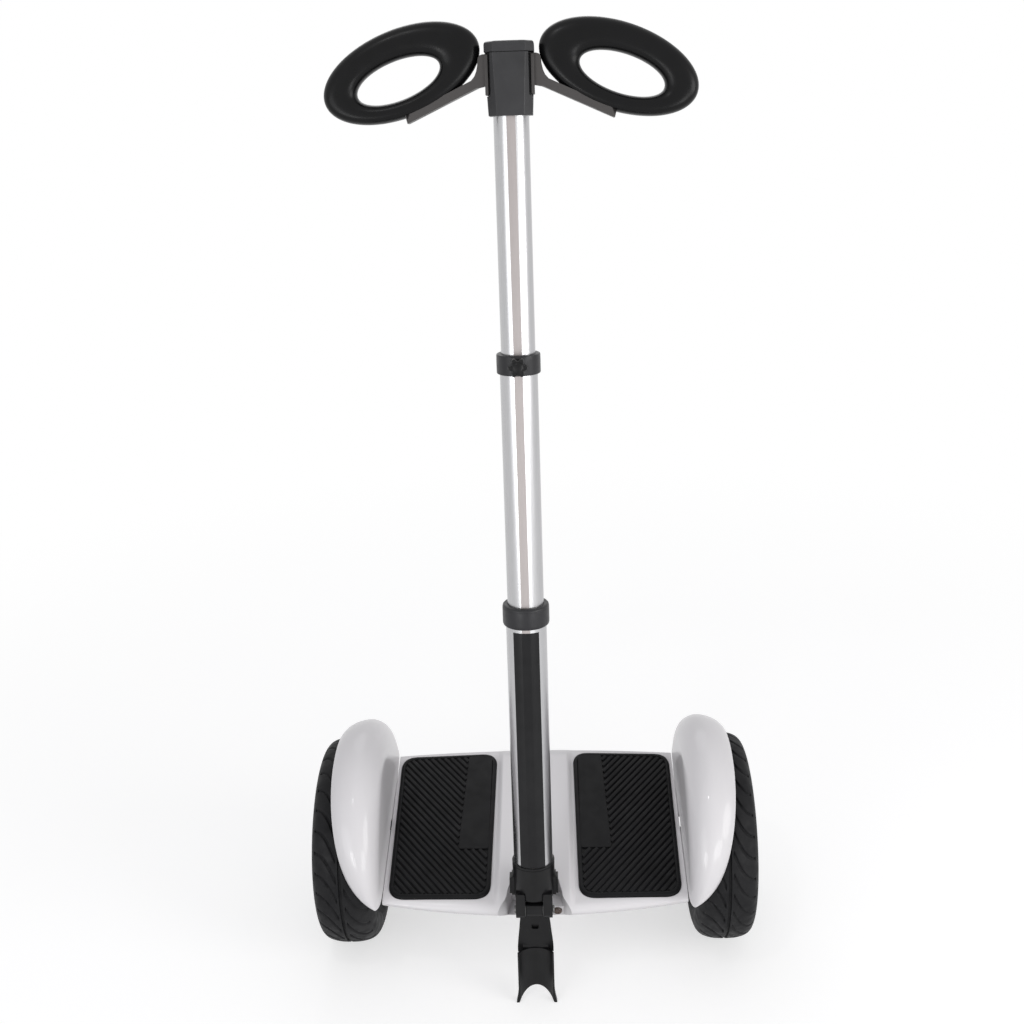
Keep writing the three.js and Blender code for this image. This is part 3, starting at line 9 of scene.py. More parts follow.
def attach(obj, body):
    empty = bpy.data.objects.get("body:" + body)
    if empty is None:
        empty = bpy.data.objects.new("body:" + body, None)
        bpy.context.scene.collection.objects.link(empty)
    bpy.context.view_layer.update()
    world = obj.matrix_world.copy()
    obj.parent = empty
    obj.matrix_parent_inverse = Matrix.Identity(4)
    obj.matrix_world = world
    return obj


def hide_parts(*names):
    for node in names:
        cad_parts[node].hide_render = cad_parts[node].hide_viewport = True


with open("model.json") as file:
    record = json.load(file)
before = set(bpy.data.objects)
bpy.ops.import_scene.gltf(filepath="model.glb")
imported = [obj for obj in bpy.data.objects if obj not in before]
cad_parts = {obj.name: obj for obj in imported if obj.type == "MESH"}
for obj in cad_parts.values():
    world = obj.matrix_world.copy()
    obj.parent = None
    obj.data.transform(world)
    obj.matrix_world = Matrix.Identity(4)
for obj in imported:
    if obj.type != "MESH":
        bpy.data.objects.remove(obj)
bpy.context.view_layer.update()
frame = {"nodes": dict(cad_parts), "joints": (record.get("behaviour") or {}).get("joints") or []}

# Sizes are in millimetres, in the same local frames as the CAD source. Matrices turn them into metres.
MM = 0.001
GAP = 0.3
SIDES = ((-1, "left"), (1, "right"))
joints = {joint["name"]: joint for joint in frame["joints"]}
axle_at = Vector(joints["left_wheel_spin"]["pos_m"])
TILT, LEAN = radians(12.5), radians(18)
COLUMN_Y, COLUMN_Z, WHEEL_X = -124.4, 15.3, 237.5
VEHICLE = Matrix.Translation((0, axle_at.y, axle_at.z)) @ Matrix.Rotation(TILT, 4, "X")
MAST = VEHICLE @ Matrix.Translation((0, COLUMN_Y * MM, COLUMN_Z * MM)) @ Matrix.Rotation(-LEAN, 4, "X")
HINGE_FORWARD, HINGE_UP = 18, 6.8


def hub_place(side):
    place = VEHICLE @ Matrix.Translation((side * WHEEL_X * MM, 0, 0)) @ Matrix.Rotation(-TILT, 4, "X")
    return place if side > 0 else place @ Matrix.Rotation(PI, 4, "Z")


# Meshes. A shape is a list of vertices in millimetres and a list of faces, and an object gives it a place.

scene = bpy.context.scene
place_of = {}


def add_object(name, data):
    obj = bpy.data.objects.new(name, data)
    scene.collection.objects.link(obj)
    return obj


def new_object(name, shape, place):
    verts, faces = shape
    mesh = bpy.data.meshes.new(name)
    mesh.from_pydata([[c * MM for c in v] for v in verts], [], faces)
    obj = add_object(name, mesh)
    obj.matrix_world = place
    place_of[obj.name] = place
    fix_normals(mesh)
    return obj


def vehicle_object(name, shape):
    return new_object(name, shape, VEHICLE)


def mast_object(name, shape):
    """The mast's frame has Z up the tubes."""
    return new_object(name, shape, MAST)


def fix_normals(mesh):
    bm = bmesh.new()
    bm.from_mesh(mesh)
    bmesh.ops.remove_doubles(bm, verts=bm.verts, dist=1e-7)
    bmesh.ops.dissolve_degenerate(bm, edges=bm.edges, dist=1e-8)
    bmesh.ops.recalc_face_normals(bm, faces=bm.faces)
    bm.to_mesh(mesh)
    bm.free()


def apply_modifiers(obj):
    bpy.context.view_layer.update()
    shown = obj.evaluated_get(bpy.context.evaluated_depsgraph_get())
    mesh = bpy.data.meshes.new_from_object(shown)
    obj.modifiers.clear()
    obj.data = mesh


def as_objects(tools, obj):
    """Objects as they are, and shapes as new objects in the place of obj."""
    return [tool if isinstance(tool, bpy.types.Object) else new_object("tool", tool, place_of[obj.name])
            for tool in tools]


def combine(obj, tools, operation="DIFFERENCE"):
    for tool in as_objects(tools, obj):
        step = obj.modifiers.new("step", "BOOLEAN")
        step.operation = operation
        step.solver = "EXACT"
        step.object = tool
        apply_modifiers(obj)
        bpy.data.objects.remove(tool)
    return obj


def join(obj, shapes):
    """Adds shapes to the mesh of obj, in its place."""
    others = as_objects(shapes, obj)
    verts, faces, start = [], [], 0
    for one in [obj, *others]:
        verts += [tuple(v.co) for v in one.data.vertices]
        faces += [[start + v for v in p.vertices] for p in one.data.polygons]
        start = len(verts)
    mesh = bpy.data.meshes.new(obj.name)
    mesh.from_pydata(verts, [], faces)
    obj.data = mesh
    for one in others:
        bpy.data.objects.remove(one)
    fix_normals(mesh)


def soften(obj, width, segments, angle):
    """Rounds the edges sharper than an angle, unless the width is zero, and shades the rest smooth."""
    if width:
        bevel = obj.modifiers.new("edges", "BEVEL")
        bevel.width = width * MM
        bevel.segments = segments
        bevel.limit_method = "ANGLE"
        bevel.angle_limit = radians(angle)
        bevel.miter_outer = "MITER_ARC"
        apply_modifiers(obj)
    obj.data.shade_smooth()
    obj.data.set_sharp_from_angle(angle=radians(angle))
    weigh = obj.modifiers.new("normals", "WEIGHTED_NORMAL")
    weigh.keep_sharp = True
    apply_modifiers(obj)


def dress(obj, body, finishes, width, segments=2, angle=32, extra=False):
    """Gives a piece its soft edges, body and its materials by their keys.

    A piece with _form at the end of its name replaces the CAD node of that name, unless it is an extra one.
    """
    soften(obj, width, segments, angle)
    obj.data.materials.clear()
    for key in finishes.split():
        obj.data.materials.append(mats[key])
    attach(obj, body)
    if obj.name.endswith("_form") and not extra:
        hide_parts(obj.name.removesuffix("_form"))


def turn(axis, along, radius, angle):
    c, s = radius * cos(angle), radius * sin(angle)
    return {"x": (along, c, s), "y": (s, along, c), "z": (c, s, along)}[axis]


def lathe(axis, profile, steps=96):
    """A turned body from points of (place along the axis, radius), or a ring where the first has a radius."""
    verts, rings = [], []
    for along, radius in profile:
        if radius == 0:
            rings.append([len(verts)] * steps)
            verts.append(turn(axis, along, 0, 0))
        else:
            rings.append([len(verts) + i for i in range(steps)])
            verts += [turn(axis, along, radius, 2 * PI * i / steps) for i in range(steps)]
    faces = []
    last = len(rings) if profile[0][1] > 0 else len(rings) - 1
    for k in range(last):
        a, b = rings[k], rings[(k + 1) % len(rings)]
        for i in range(steps):
            j = (i + 1) % steps
            face = list(dict.fromkeys((a[i], b[i], b[j], a[j])))
            if len(face) > 2:
                faces.append(face)
    return verts, faces


def rod(axis, radius, start, end, steps=48, chamfer=0):
    if not chamfer:
        return lathe(axis, [(start, 0), (start, radius), (end, radius), (end, 0)], steps)
    return lathe(axis, [(start, 0), (start, radius - chamfer), (start + chamfer, radius),
                        (end - chamfer, radius), (end, radius - chamfer), (end, 0)], steps)


def loft(rings, caps=True):
    """A body through rings of points that match one by one, with caps or back to the first ring."""
    count = len(rings[0])
    verts = [p for ring in rings for p in ring]
    faces = []
    for k in range(len(rings) - (1 if caps else 0)):
        a, b = k * count, ((k + 1) % len(rings)) * count
        faces += [[a + i, b + i, b + (i + 1) % count, a + (i + 1) % count] for i in range(count)]
    if caps:
        faces.append(list(range(count)))
        faces.append([(len(rings) - 1) * count + i for i in range(count)])
    return verts, faces


def prism(outline, start, end, axis="z"):
    """An outline of (u, v) carried along an axis: x uses (y, z), y uses (x, z) and z uses (x, y)."""
    def at(u, v, w):
        return {"x": (w, u, v), "y": (u, w, v), "z": (u, v, w)}[axis]
    return loft([[at(u, v, start) for u, v in outline], [at(u, v, end) for u, v in outline]])


def rectangle(u_low, v_low, u_high, v_high):
    return [(u_low, v_low), (u_high, v_low), (u_high, v_high), (u_low, v_high)]


def block(low, high):
    return prism(rectangle(*low[:2], *high[:2]), low[2], high[2])


def ends(side, inner, outer):
    """Two distances from the middle as places on one side, in rising order."""
    return sorted((side * inner, side * outer))


def side_block(side, inner, outer, low, high):
    """A block between two distances from the middle, with its corners as (y, z)."""
    left, right = ends(side, inner, outer)
    return block((left, *low), (right, *high))


def shifted(shape, x=0, y=0, z=0):
    verts, faces = shape
    return [(a + x, b + y, c + z) for a, b, c in verts], faces


def at_hinge(shape):
    return shifted(shape, y=-HINGE_FORWARD, z=HINGE_UP)


def rounded(corners, radius, steps=8):
    points = []
    for i, corner in enumerate(corners):
        here = Vector(corner)
        back = (Vector(corners[i - 1]) - here).normalized() * radius
        ahead = (Vector(corners[(i + 1) % len(corners)]) - here).normalized() * radius
        for k in range(steps + 1):
            t = k / steps
            points.append(tuple(here + back * (1 - t) ** 2 + ahead * t ** 2))
    return points


def spline(points, per_span):
    """Points along a smooth curve through the given ones, which doesn't loop where they are uneven."""
    given = [Vector(p) for p in points]
    given = [2 * given[0] - given[1], *given, 2 * given[-1] - given[-2]]
    out = []
    for k in range(len(points) - 1):
        p = given[k:k + 4]
        at = [0]
        for a, b in zip(p, p[1:]):
            at.append(at[-1] + (b - a).length ** 0.5)
        for i in range(per_span):
            t = at[1] + (at[2] - at[1]) * i / per_span
            first = [p[j].lerp(p[j + 1], (t - at[j]) / (at[j + 1] - at[j])) for j in range(3)]
            second = [first[j].lerp(first[j + 1], (t - at[j]) / (at[j + 2] - at[j])) for j in range(2)]
            out.append(tuple(second[0].lerp(second[1], (t - at[1]) / (at[2] - at[1]))))
    return out + [tuple(points[-1])]


def shell_between(outer, inner):
    """A closed skin between two grids of points."""
    rows, columns = len(outer), len(outer[0])
    verts = [p for grid in (outer, inner) for row in grid for p in row]

    def at(layer, i, j):
        return (layer * rows + i) * columns + j
    faces = []
    for i in range(rows - 1):
        for j in range(columns - 1):
            faces.append([at(0, i, j), at(0, i + 1, j), at(0, i + 1, j + 1), at(0, i, j + 1)])
            faces.append([at(1, i, j), at(1, i, j + 1), at(1, i + 1, j + 1), at(1, i + 1, j)])
        for j in (0, columns - 1):
            faces.append([at(0, i, j), at(1, i, j), at(1, i + 1, j), at(0, i + 1, j)])
    for j in range(columns - 1):
        for i in (0, rows - 1):
            faces.append([at(0, i, j), at(0, i, j + 1), at(1, i, j + 1), at(1, i, j)])
    return verts, faces


def inside(point, outline):
    x, y = point
    hit = False
    for (ax, ay), (bx, by) in zip(outline, outline[1:] + outline[:1]):
        if (ay > y) != (by > y) and x < ax + (bx - ax) * (y - ay) / (by - ay):
            hit = not hit
    return hit


# Materials

def new_node(tree, kind, operation=None, **values):
    """A shader node with some of its inputs set by name."""
    node = tree.nodes.new("ShaderNode" + kind)
    if operation:
        node.operation = operation
    for key, value in values.items():
        node.inputs[key.replace("_", " ")].default_value = value
    return node


class Nodes:
    """Builds one material's nodes, with places taken from the piece's own coordinates in metres."""

    def __init__(self, name):
        self.material = bpy.data.materials.new(name)
        self.material.use_nodes = True
        self.tree = self.material.node_tree
        self.link = self.tree.links.new
        self.shader = self.tree.nodes["Principled BSDF"].inputs
        self.place = new_node(self.tree, "TexCoord").outputs["Object"]

    def noise(self, scale, detail=4, stretch=(1, 1, 1), rough=0.5):
        mapping = new_node(self.tree, "Mapping", Scale=stretch)
        noise = new_node(self.tree, "TexNoise", Scale=scale, Detail=detail, Roughness=rough)
        self.link(self.place, mapping.inputs["Vector"])
        self.link(mapping.outputs["Vector"], noise.inputs["Vector"])
        return noise.outputs["Fac"]

    def color(self, source, tones, start):
        """Goes from the first tone to the second, with its ends equally far from the middle."""
        ramp = new_node(self.tree, "ValToRGB")
        for element, position, tone in zip(ramp.color_ramp.elements, (start, 1 - start), tones):
            element.position = position
            element.color = (*tone, 1)
        self.link(source, ramp.inputs["Fac"])
        self.link(ramp.outputs["Color"], self.shader["Base Color"])

    def polish(self, source, low, high):
        spread = new_node(self.tree, "MapRange", From_Min=0.35, From_Max=0.65, To_Min=low, To_Max=high)
        self.link(source, spread.inputs["Value"])
        self.link(spread.outputs["Result"], self.shader["Roughness"])

    def bump(self, source, strength, distance):
        bump = new_node(self.tree, "Bump", Strength=strength, Distance=distance)
        self.link(source, bump.inputs["Height"])
        self.link(bump.outputs["Normal"], self.shader["Normal"])


def plastic(name, tones, rough, grain=1400, depth=0.00002, cloud=35, strength=0.25, gloss=0.5, **values):
    """Moulded plastic or rubber: slow colour drift, a fine moulded grain and uneven polish."""
    n = Nodes(name)
    n.color(n.noise(cloud, 5), tones, 0.3)
    n.polish(n.noise(cloud * 3), *rough)
    n.bump(n.noise(grain, 3), strength, depth)
    n.shader["Specular IOR Level"].default_value = gloss
    for key, value in values.items():
        n.shader[key.replace("_", " ")].default_value = value
    return n.material


def metal(name, tones, rough, stretch=(1, 1, 1), grain=1800, depth=0.00001, metallic=1.0):
    """Metal with a brushed or cast grain. Stretch draws the grain out along the piece."""
    n = Nodes(name)
    grains = n.noise(grain, 4, stretch, 0.6)
    n.color(grains, tones, 0.25)
    n.polish(n.noise(40, 4, stretch), *rough)
    n.bump(grains, 0.3, depth)
    n.shader["Metallic"].default_value = metallic
    return n.material


LENGTHWISE = (1, 1, 0.02)
mats = {
    "white": plastic("white_gloss_plastic", [(0.715, 0.7, 0.715), (0.735, 0.72, 0.735)], (0.3, 0.34),
                     grain=1300, depth=0.00001, cloud=4, strength=0.1, gloss=0.2,
                     Coat_Weight=0.35, Coat_Roughness=0.08),
    "belly": plastic("white_belly_plastic", [(0.72, 0.7, 0.72), (0.75, 0.73, 0.75)], (0.34, 0.5),
                     grain=700, depth=0.00005, cloud=14),
    "pad": plastic("pad_rubber", [(0.004, 0.004, 0.0045), (0.008, 0.008, 0.009)], (0.4, 0.55),
                   grain=1500, depth=0.00003, cloud=26, strength=0.3, gloss=0.12),
    "grip": plastic("grip_rubber", [(0.003, 0.003, 0.0033), (0.0045, 0.0045, 0.005)], (0.26, 0.34),
                    grain=1100, cloud=22, strength=0.2, gloss=0.18),
    "tyre": plastic("tyre_rubber", [(0.008, 0.008, 0.009), (0.014, 0.014, 0.015)], (0.5, 0.7),
                    grain=900, depth=0.00006, cloud=30, strength=0.5, gloss=0.15),
    "black": plastic("black_plastic", [(0.003, 0.003, 0.0035), (0.006, 0.006, 0.0065)], (0.3, 0.42),
                     grain=1900, cloud=40, strength=0.3, gloss=0.24),
    "collar": plastic("collar_plastic", [(0.018, 0.018, 0.02), (0.027, 0.027, 0.03)], (0.34, 0.48),
                      grain=1900, cloud=40, strength=0.35, gloss=0.3),
    "label": plastic("black_film", [(0.008, 0.008, 0.009), (0.013, 0.013, 0.014)], (0.3, 0.42),
                     grain=2600, depth=0.00001, cloud=30, gloss=0.2),
    "head": plastic("grey_plastic", [(0.028, 0.028, 0.03), (0.042, 0.042, 0.045)], (0.34, 0.46),
                    grain=1500, cloud=34, strength=0.3, gloss=0.35),
    "arm": metal("painted_arm", [(0.06, 0.056, 0.055), (0.08, 0.075, 0.074)], (0.4, 0.54), metallic=0.55),
    "tube": metal("satin_alloy", [(0.44, 0.44, 0.45), (0.54, 0.54, 0.55)], (0.24, 0.34), LENGTHWISE, 2400),
    # The flats' alloy is the tube's own alloy in a darker, warmer tone: painted shade on the front and rear
    # faces.
    "flat": metal("flat_alloy_painted_shade", [(0.38, 0.35, 0.345), (0.44, 0.405, 0.4)], (0.36, 0.48), LENGTHWISE, 2400),
    "steel": metal("plated_steel", [(0.42, 0.42, 0.43), (0.56, 0.56, 0.57)], (0.22, 0.4)),
    "dark_steel": metal("dark_steel", [(0.1, 0.1, 0.1), (0.17, 0.17, 0.17)], (0.3, 0.45)),
    "wheel": metal("painted_wheel", [(0.16, 0.16, 0.17), (0.23, 0.23, 0.24)], (0.34, 0.5), metallic=0.6),
    "cast": metal("cast_alloy", [(0.26, 0.26, 0.26), (0.38, 0.38, 0.38)], (0.45, 0.62), depth=0.00004),
    "battery": metal("battery_case", [(0.45, 0.46, 0.49), (0.55, 0.56, 0.6)], (0.35, 0.5)),
    "board": plastic("board_resin", [(0.01, 0.09, 0.04), (0.02, 0.15, 0.07)], (0.3, 0.5), cloud=160),
    "brown": plastic("brown_button", [(0.05, 0.03, 0.022), (0.09, 0.055, 0.04)], (0.24, 0.36), cloud=200),
}

# Deck

DECK_HALF, DECK_TOP, DECK_FLOOR, REAR_LIP = 188, 18.5, -52, -14
HUMP, HUMP_HALF, HUMP_SLOPE, HUMP_FADE = 6.5, 51, 8, 26
# Each point of an edge is a share of the edge's run inward and of its rise or drop.
FRONT_TOP = 11, [(0, 0), (0.05, 0.3), (0.25, 0.67), (0.5, 0.88), (0.75, 0.97), (1, 1)]
FRONT_UNDER = 54, [(0, 0), (0.02, 0.06), (0.5, 0.545), (0.93, 0.96), (1, 1)]
REAR_TOP = 14, [(0, 0), (0.03, 0.55), (0.14, 0.78), (0.45, 0.94), (1, 1)]
REAR_UNDER = 24, [(0, 0), (0, 0.37), (0.08, 0.66), (0.38, 0.9), (1, 1)]
SHAFT_Z, SOCKET_Z, PIVOT_Z = -2, -13, -3.5
BUTTON_X, BUTTON_Z, BUTTON_FRONT = 28, -2, -120.4
POCKET_REAR, POCKET_FRONT, POCKET_FLOOR, HUB_FRONT = -91, -141, -15.5, -126
POCKET_HALF, POCKET_MOUTH, FLARE_RUN, CORNER = 34, 52, 24, 4
POCKET_WALL, POCKET_BASE = 3, 2.5
PAD_ROUND = 21
POSTS = [(side * x, y) for side in (-1, 1) for x, y in ((172, -58), (172, 80), (62, 106))]


def bow(x):
    return 1 - (x / DECK_HALF) ** 2


def front_line(x):
    return -(119 + 14 * bow(x))


def rear_line(x):
    return 134 + 8 * bow(x)


def smooth_step(t):
    t = min(max(t, 0), 1)
    return t * t * (3 - 2 * t)


def deck_form(walls=(0, 0, 0, 0, 0), spans=5):
    """The deck's whole form, in sections from side to side. The front recedes below its lip."""
    side, front_wall, rear_wall, top_wall, floor_wall = walls
    half, top, floor = DECK_HALF - side, DECK_TOP - top_wall, DECK_FLOOR + floor_wall
    places = {half * k / 24 for k in range(25)} | {HUMP_HALF - HUMP_SLOPE * k / 8 for k in range(9)}
    edges = [(run, spline(shares, spans)) for run, shares in (FRONT_UNDER, FRONT_TOP, REAR_TOP, REAR_UNDER)]
    (under_run, under), (front_run, front_edge), (rear_run, rear_edge), (tail_run, tail) = edges
    sections = []
    for x in sorted(places | {-x for x in places}):
        front, rear = front_line(x) + front_wall, rear_line(x) - rear_wall
        full_lip = 15 - 6 * bow(x)
        lip = full_lip - top_wall
        hump = HUMP * smooth_step((HUMP_HALF - abs(x)) / HUMP_SLOPE)
        reach = under_run * (lip - floor) / (full_lip - DECK_FLOOR)

        def lifted(z, inset):
            return z + hump * smooth_step(inset / HUMP_FADE)
        rows = [(front + u * reach, lip - (lip - floor) * s) for u, s in reversed(under)]
        rows += [(front + u * front_run, lifted(lip + (top - lip) * s, u * front_run))
                 for u, s in front_edge[1:]]
        insets = [front_run + (HUMP_FADE - front_run) * k / 5 for k in range(1, 6)]
        rows += [(front + inset, lifted(top, inset)) for inset in insets]
        middle = rear - front - 2 * HUMP_FADE
        rows += [(front + HUMP_FADE + middle * k / 8, top + hump) for k in range(1, 8)]
        insets = [rear_run + (HUMP_FADE - rear_run) * k / 5 for k in range(5, 0, -1)]
        rows += [(rear - inset, lifted(top, inset)) for inset in insets]
        rows += [(rear - u * rear_run, lifted(REAR_LIP + (top - REAR_LIP) * s, u * rear_run))
                 for u, s in reversed(rear_edge)]
        rows += [(rear - u * tail_run, REAR_LIP - (REAR_LIP - floor) * s) for u, s in tail[1:]]
        sections.append([(x, y, z) for y, z in rows])
    return loft(sections)


def pad_outline(side, grow, steps=10):
    corners = [(55 - grow, -117 - grow), (181 + grow, -116 - grow), (184 + grow, 122 + grow),
               (52.5 - grow, 127 + grow)]
    corners = [(side * x, y) for x, y in corners]
    return rounded(corners if side > 0 else corners[::-1], PAD_ROUND + grow, steps)


def pocket_outline(grow):
    """The front pocket's flaring walls, with a rounded corner at each side of its rear wall."""
    flare = (POCKET_MOUTH - POCKET_HALF) / FLARE_RUN
    stretch = hypot(1, flare)
    back = grow * (stretch - 1) / flare
    right = [(POCKET_HALF - CORNER + grow - CORNER * (1 - t) ** 2, POCKET_REAR + grow - CORNER * t ** 2)
             for t in (0, 0.25, 0.5, 0.75, 1)]
    right += [(POCKET_HALF + grow, -112), (POCKET_HALF + 0.6 + grow, -116.5 + back),
              (POCKET_HALF + 2.8 + grow * (1 + stretch) / 2, -120.8 + back / 2),
              (POCKET_MOUTH + grow * stretch, POCKET_FRONT)]
    return [(-x, y) for x, y in reversed(right)] + right


def deck_half(name, low, high):
    """The deck's hollow form between two heights."""
    form = vehicle_object(name, deck_form())
    hollow = deck_form((3, 7.7, 3, 4, 3), 3)
    return combine(form, [hollow, block((-200, -200, -60), (200, 200, low)),
                          block((-200, -200, high), (200, 200, 60))])


def axle_slots():
    return [side_block(side, 184, 189, (-9, -9), (9, 9)) for side in (-1, 1)]


def build_deck():
    shell = deck_half("deck_shell_form", 0, 50)
    tub = prism(pocket_outline(POCKET_WALL), POCKET_FLOOR - POCKET_BASE, DECK_TOP + HUMP + 2)
    tub = combine(vehicle_object("tool", tub), [deck_form((1, 1, 1, 1, 1))], "INTERSECT")
    combine(shell, [tub], "UNION")
    cavity = vehicle_object("tool", prism(pocket_outline(0), POCKET_FLOOR, DECK_TOP + HUMP + 1))
    combine(cavity, [block((19, -118, POCKET_FLOOR - 1), (37, POCKET_REAR + 1, 5))])
    cuts = [shifted(rod("y", 9.6, POCKET_REAR - 1, POCKET_REAR + 4), z=SHAFT_Z),
            shifted(rod("y", 5.5, -119, -112.9), x=BUTTON_X, z=BUTTON_Z)]
    cuts += [prism(pad_outline(side, 0.5), 17, 30) for side in (-1, 1)] + axle_slots()
    combine(shell, [cavity, *cuts])
    pillar = lathe("z", [(0, 0), (0, 2), (-48.7, 2), (-48.7, 5), (DECK_TOP - 3, 5), (DECK_TOP - 3, 0)], 32)
    join(shell, [shifted(pillar, x, y) for x, y in POSTS])
    dress(shell, "base", "white", 1.1, 3, 33)


def screw(name, place, at, axis, outward, radius, height, body):
    """A pan head screw with a cross recess. Outward is the sign of the way its head faces."""
    seat = height * 0.45
    profile = [(0, 0), (0, radius), (seat, radius), (height * 0.85, radius * 0.92), (height, radius * 0.6),
               (height, 0)]
    head = new_object(name, shifted(lathe(axis, [(outward * a, r) for a, r in profile], 32), *at), place)
    near, far = ends(outward, seat, height + 1)
    arm, thin = radius * 0.62, radius * 0.13
    for u, v in ((thin, arm), (arm, thin)):
        low, high = {"x": ((near, -u, -v), (far, u, v)), "z": ((-u, -v, near), (u, v, far))}[axis]
        combine(head, [shifted(block(low, high), *at)])
    dress(head, body, "steel", 0.12, 1, extra=True)


def build_belly():
    belly = deck_half("deck_belly_form", -60, -GAP)
    back = rear_line(0)
    for side in (-1, 1):
        lug = rounded(rectangle(back - 1, -6.1, back + 4.2, -0.9), 1.5, 4)
        combine(belly, [prism(lug, *ends(side, 7.3, 10.3), "x")], "UNION")
    cuts = [prism(pocket_outline(POCKET_WALL + GAP), POCKET_FLOOR - POCKET_BASE - GAP, 0), *axle_slots(),
            shifted(rod("y", 8.9, back - 4, back + 1), z=SOCKET_Z),
            shifted(rod("x", 1.6, -12, 12, 24), y=back + 1.6, z=PIVOT_Z)]
    for x, y in POSTS:
        cuts.append(shifted(rod("z", 4.1, DECK_FLOOR - 1, DECK_FLOOR + 1.6), x, y))
        cuts.append(shifted(rod("z", 2.3, DECK_FLOOR - 1, DECK_FLOOR + 3.3, 24), x, y))
    for k in range(-4, 5):
        groove = rounded(rectangle(k * 22 - 3, -6, k * 22 + 3, 66), 2.8, 4)
        cuts.append(prism(groove, DECK_FLOOR - 1, DECK_FLOOR + 0.8))
    combine(belly, cuts)
    dress(belly, "base", "belly", 0.5, 2, 40)
    for number, (x, y) in enumerate(POSTS):
        screw(f"belly_screw_{number}", VEHICLE, (x, y, DECK_FLOOR + 1.55), "z", -1, 3.4, 1.5, "base")


RIB_PITCH, RIB_ANGLE, RIB_STEP, RIB_RAMP, RIB_SHORTEST, RIB_FOOT = 7.3, radians(51), 0.5, 0.7, 7, 19.9
RIB_SECTION = ((-2.8, 0), (-2.4, 1.5), (-1.5, 2), (1.5, 2), (2.4, 1.5), (2.8, 0))
PAD_EDGE = ((0.6, 17.3), (0, 17.9), (0, 19.4), (0.4, 20.5), (1.3, 21.4), (2.8, 21.9), (4.6, 22), (5.4, 21.6),
            (5.8, 20))
PAD_STRIP = ((59, -41), (98, -41), (91, 122), (59, 122))


def rib_runs(row, along, field, strip):
    """The stretches of a line through row that lie in the field and off the strip, as two distances each."""
    start, runs = None, []
    for i in range(-340, 341):
        point = tuple(row + along * (i * RIB_STEP))
        inner = inside(point, field) and not inside(point, strip)
        if inner and start is None:
            start = i
        if not inner and start is not None:
            runs.append((start * RIB_STEP, (i - 1) * RIB_STEP))
            start = None
    return [(low, high) for low, high in runs if high - low >= RIB_SHORTEST]


def build_pad(side, name):
    """A rubber pad with a rolled edge, diagonal grooves between flat ribs, and a smooth strip inside."""
    verts, faces = loft([[(x, y, z) for x, y in pad_outline(side, -inset, 12)] for inset, z in PAD_EDGE])
    field = pad_outline(side, -5.4, 12)
    strip = [(side * x, y) for x, y in PAD_STRIP]
    along = Vector((side * cos(RIB_ANGLE), sin(RIB_ANGLE)))
    across = Vector((-along.y, along.x))
    for k in range(-22, 23):
        row = Vector((side * 118, 5)) + across * (k * RIB_PITCH)
        for low, high in rib_runs(row, along, field, strip):
            base = len(verts)
            for t, up in ((low, 0), (low + RIB_RAMP, 1), (high - RIB_RAMP, 1), (high, 0)):
                for u, lift in RIB_SECTION:
                    point = row + along * t + across * u
                    verts.append((point.x, point.y, RIB_FOOT + lift * up))
            count = len(RIB_SECTION)
            for c in [base + a * count + b for a in range(3) for b in range(count - 1)]:
                faces.append([c, c + 1, c + count + 1, c + count])
    pad = vehicle_object(name + "_form", (verts, faces))
    strip = rounded(strip if side > 0 else strip[::-1], 4, 4)
    rise = [[(x, y, 19.7) for x, y in strip], [(x, y, 21.6) for x, y in strip],
            [(x * 0.985 + side * 1.15, y * 0.985 + 0.6, 21.95) for x, y in strip]]
    join(pad, [loft(rise)])
    dress(pad, "base", "pad", 0, angle=50)


# Fenders, as plates beside the deck that bulge out over the tyres

FENDER_SHARES = [(0, 0), (0.02, 0.3), (0.1, 0.62), (0.26, 0.88), (0.48, 1), (0.72, 0.95), (0.9, 0.82),
                 (1, 0.667)]
FENDER_START, FENDER_END, FENDER_STEPS = radians(10), radians(170), 84
FENDER_X, FENDER_BULGE, FENDER_RADIUS, FENDER_RISE, FENDER_WALL = 188.6, 61, 118, 36, 2.5


def fender_section(angle):
    """Points of (x, distance from the axle) at an angle round the wheel."""
    middle = (FENDER_START + FENDER_END) / 2
    off = abs(angle - middle) / (middle - FENDER_START)
    width = (1 - max(1 - (max(1 - off, 0) + 0.02), 0) ** 2.2) ** 0.55
    height = 0.5 + 0.5 * width
    bulge = [(FENDER_X + FENDER_BULGE * out * width, FENDER_RADIUS + FENDER_RISE * up * height)
             for out, up in spline(FENDER_SHARES, 5)]
    return [(FENDER_X, radius) for radius in (24, 48, 72, 96)] + bulge


def build_fender(side, name):
    outer = []
    for i in range(FENDER_STEPS + 1):
        angle = FENDER_START + (FENDER_END - FENDER_START) * i / FENDER_STEPS
        c, s = cos(angle), sin(angle)
        outer.append([(side * x, -c * r, s * r) for x, r in fender_section(angle)])
    inner = []
    for i, row in enumerate(outer):
        line = []
        for j, point in enumerate(row):
            across = Vector(row[min(j + 1, len(row) - 1)]) - Vector(row[max(j - 1, 0)])
            along = Vector(outer[min(i + 1, FENDER_STEPS)][j]) - Vector(outer[max(i - 1, 0)][j])
            line.append(tuple(Vector(point) - across.cross(along).normalized() * side * FENDER_WALL))
        inner.append(line)
    fender = vehicle_object(name + "_form", shell_between(outer, inner))
    dress(fender, "base", "white", 0.8, 3, 50)


# Wheels

TYRE_RADIUS, TREAD_COUNT, TREAD_STEPS = 129, 30, 20
TREAD_START, TREAD_END, TREAD_LAG, TREAD_HALF, TREAD_DEEP = 5, 31.5, 1.25, 1.7, 2.6


